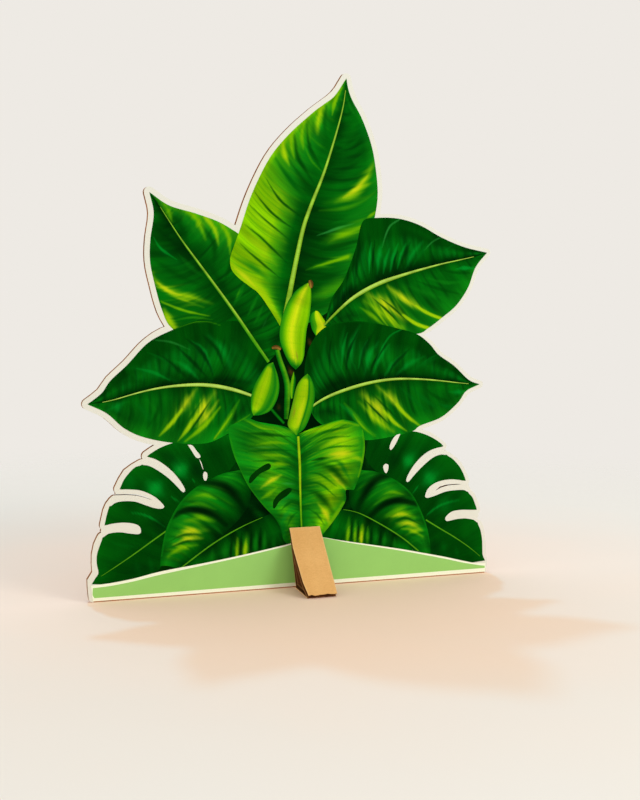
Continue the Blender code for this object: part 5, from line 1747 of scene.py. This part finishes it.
@dataclass(frozen=True)
class Studio:
    """Pale seamless floor, soft light and the camera."""

    camera_place: Three = (-0.24644, -0.71701, 0.1773)
    yaw: float = 20.0
    pitch: float = 5.0
    roll: float = 0.4
    lens: float = 58.5
    backdrop: Colour = (238, 234, 228)
    near_floor_shade_tint: Three = (0.94, 0.72, 0.55)
    far_floor: Three = (0.89, 0.76, 0.62)
    floor_radius: float = 3.0
    floor_drop: float = 0.00005
    fade: tuple[float, float] = (0.3, 0.75)
    fill: float = 0.86
    key_place: Three = (0.0, 1.0, 1.6)
    front_place: Three = (0.75, -1.1, 0.75)
    front_target: Three = (0.0, 0.0, 0.12)

    def floor(self) -> None:
        """Round floor that fades into the backdrop, painted warmer near the board as a shade tint and with a
        painted warm glow there.
        """
        deselect()
        bpy.ops.mesh.primitive_circle_add(vertices=96, radius=self.floor_radius, fill_type="NGON",
                                          location=(0, 0, -self.floor_drop))
        made = bpy.context.active_object
        made.name = "floor"
        n = Nodes("seamless_floor")
        place = n.add("ShaderNodeTexCoord").outputs["Object"]
        away = n.add("ShaderNodeVectorMath", {0: place}, operation="LENGTH").outputs["Value"]
        cloud = n.noise(place, (9, 9, 9), 2.0)
        away = n.maths("ADD", away, n.spread(cloud, -0.02, 0.02))
        near, far = self.fade
        faded = n.add("ShaderNodeMapRange", {"Value": away, "From Min": near, "From Max": far},
                      interpolation_type="SMOOTHSTEP").outputs[0]
        clear = n.add("ShaderNodeBsdfTransparent")
        mixed = n.add("ShaderNodeMixShader", {0: faded, 1: n.shader.outputs[0], 2: clear.outputs[0]})
        n.tree.links.new(mixed.outputs[0], n.tree.nodes["Material Output"].inputs["Surface"])
        # Painted shade tint: the floor's colour turns warmer towards the board, for the warm shadow round its
        # foot.
        spread = n.span(away, 0.12, 0.36, 0, 1)
        painted_shade_tint = n.blend("MIX", spread, (*self.near_floor_shade_tint, 1), (*self.far_floor, 1))
        # Painted light: a faint warm glow on the floor near the board, standing in for bounced light.
        painted_bounce_glow = n.span(away, 0.03, 0.24, 0.09, 0)
        material = n.dress(Base_Color=painted_shade_tint, Roughness=0.9, Specular_IOR_Level=0.1,
                           Emission_Color=(1.0, 0.4, 0.16, 1), Emission_Strength=painted_bounce_glow)
        made.data.materials.append(material)

    def light(self) -> None:
        """Even surrounding light, a small lamp behind and a large soft lamp at the front right."""
        world = bpy.data.worlds.new("studio")
        bpy.context.scene.world = world
        world.use_nodes = True
        tree = world.node_tree
        seen = tree.nodes["Background"]
        seen.inputs["Color"].default_value = (*display(*self.backdrop), 1)
        fill = tree.nodes.new("ShaderNodeBackground")
        fill.inputs["Color"].default_value = (1.0, 1.0, 1.0, 1)
        fill.inputs["Strength"].default_value = self.fill
        ray = tree.nodes.new("ShaderNodeLightPath")
        mix = tree.nodes.new("ShaderNodeMixShader")
        tree.links.new(ray.outputs["Is Camera Ray"], mix.inputs[0])
        tree.links.new(fill.outputs[0], mix.inputs[1])
        tree.links.new(seen.outputs[0], mix.inputs[2])
        tree.links.new(mix.outputs[0], tree.nodes["World Output"].inputs["Surface"])
        key = Vector(self.key_place)
        self.lamp("key_lamp", "POINT", key, -key, 11.7, (0.05, 0.52, 1.0), 0.06)
        front = Vector(self.front_place)
        way = Vector(self.front_target) - front
        self.lamp("front_lamp", "AREA", front, way, 6.0, (0.86, 0.92, 1.0), 0.55)

    def lamp(self, name: str, kind: str, place: Vector, way: Vector, energy: float,
             colour: Three, size: float) -> None:
        """Add one lamp.

        Args:
            name: Its name.
            kind: POINT or AREA.
            place: Where it stands.
            way: The way it shines.
            energy: Its strength.
            colour: Its colour.
            size: The point lamp's radius or the area lamp's side.
        """
        data = bpy.data.lights.new(name, kind)
        data.energy, data.color = energy, colour
        if kind == "POINT":
            data.shadow_soft_size = size
            data.use_nodes = True
            tree = data.node_tree
            even = tree.nodes.new("ShaderNodeLightFalloff")
            even.inputs["Strength"].default_value = 1.0
            tree.links.new(even.outputs["Constant"], tree.nodes["Emission"].inputs["Strength"])
        else:
            data.size = size
        made = bpy.data.objects.new(name, data)
        bpy.context.collection.objects.link(made)
        made.location = place
        made.rotation_euler = way.to_track_quat("-Z", "Y").to_euler()

    def camera(self) -> None:
        """Camera a little above, from the left of the board's front."""
        yaw, pitch, roll = (math.radians(v) for v in (self.yaw, self.pitch, self.roll))
        view = Vector((math.sin(yaw) * math.cos(pitch), math.cos(yaw) * math.cos(pitch), -math.sin(pitch)))
        level = Vector((math.cos(yaw), -math.sin(yaw), 0))
        upright = level.cross(view)
        right = level * math.cos(roll) + upright * math.sin(roll)
        up = upright * math.cos(roll) - level * math.sin(roll)
        data = bpy.data.cameras.new("camera")
        data.lens, data.sensor_width = self.lens, 36
        made = bpy.data.objects.new("camera", data)
        bpy.context.collection.objects.link(made)
        turn = Matrix((right, up, -view)).transposed().to_4x4()
        made.matrix_world = Matrix.Translation(Vector(self.camera_place)) @ turn
        bpy.context.scene.camera = made

    def build(self) -> None:
        """Set the stage."""
        bpy.context.scene.view_settings.view_transform = "Standard"
        self.floor()
        self.light()
        self.camera()


def main(nodes: dict[str, Piece]) -> None:
    """Build the standee round the frame's nodes, then the studio."""
    drawing = Drawing.of_board()
    LOG.info("drawing shift %.3f mm, face at %.3f mm", drawing.shift, drawing.face)
    finishes = Finishes()
    Board(finishes, nodes).build()
    Artwork(drawing, finishes).build()
    FoldedFoot("front_foot", "front_foot_strip", drawing, finishes, nodes).build()
    FoldedFoot("rear_foot", "rear_foot_strip", drawing, finishes, nodes).build()
    Studio().build()


if __name__ == "__main__":
    logging.basicConfig(level=logging.INFO, format="%(name)s: %(message)s")
    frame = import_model()
    main(frame["nodes"])
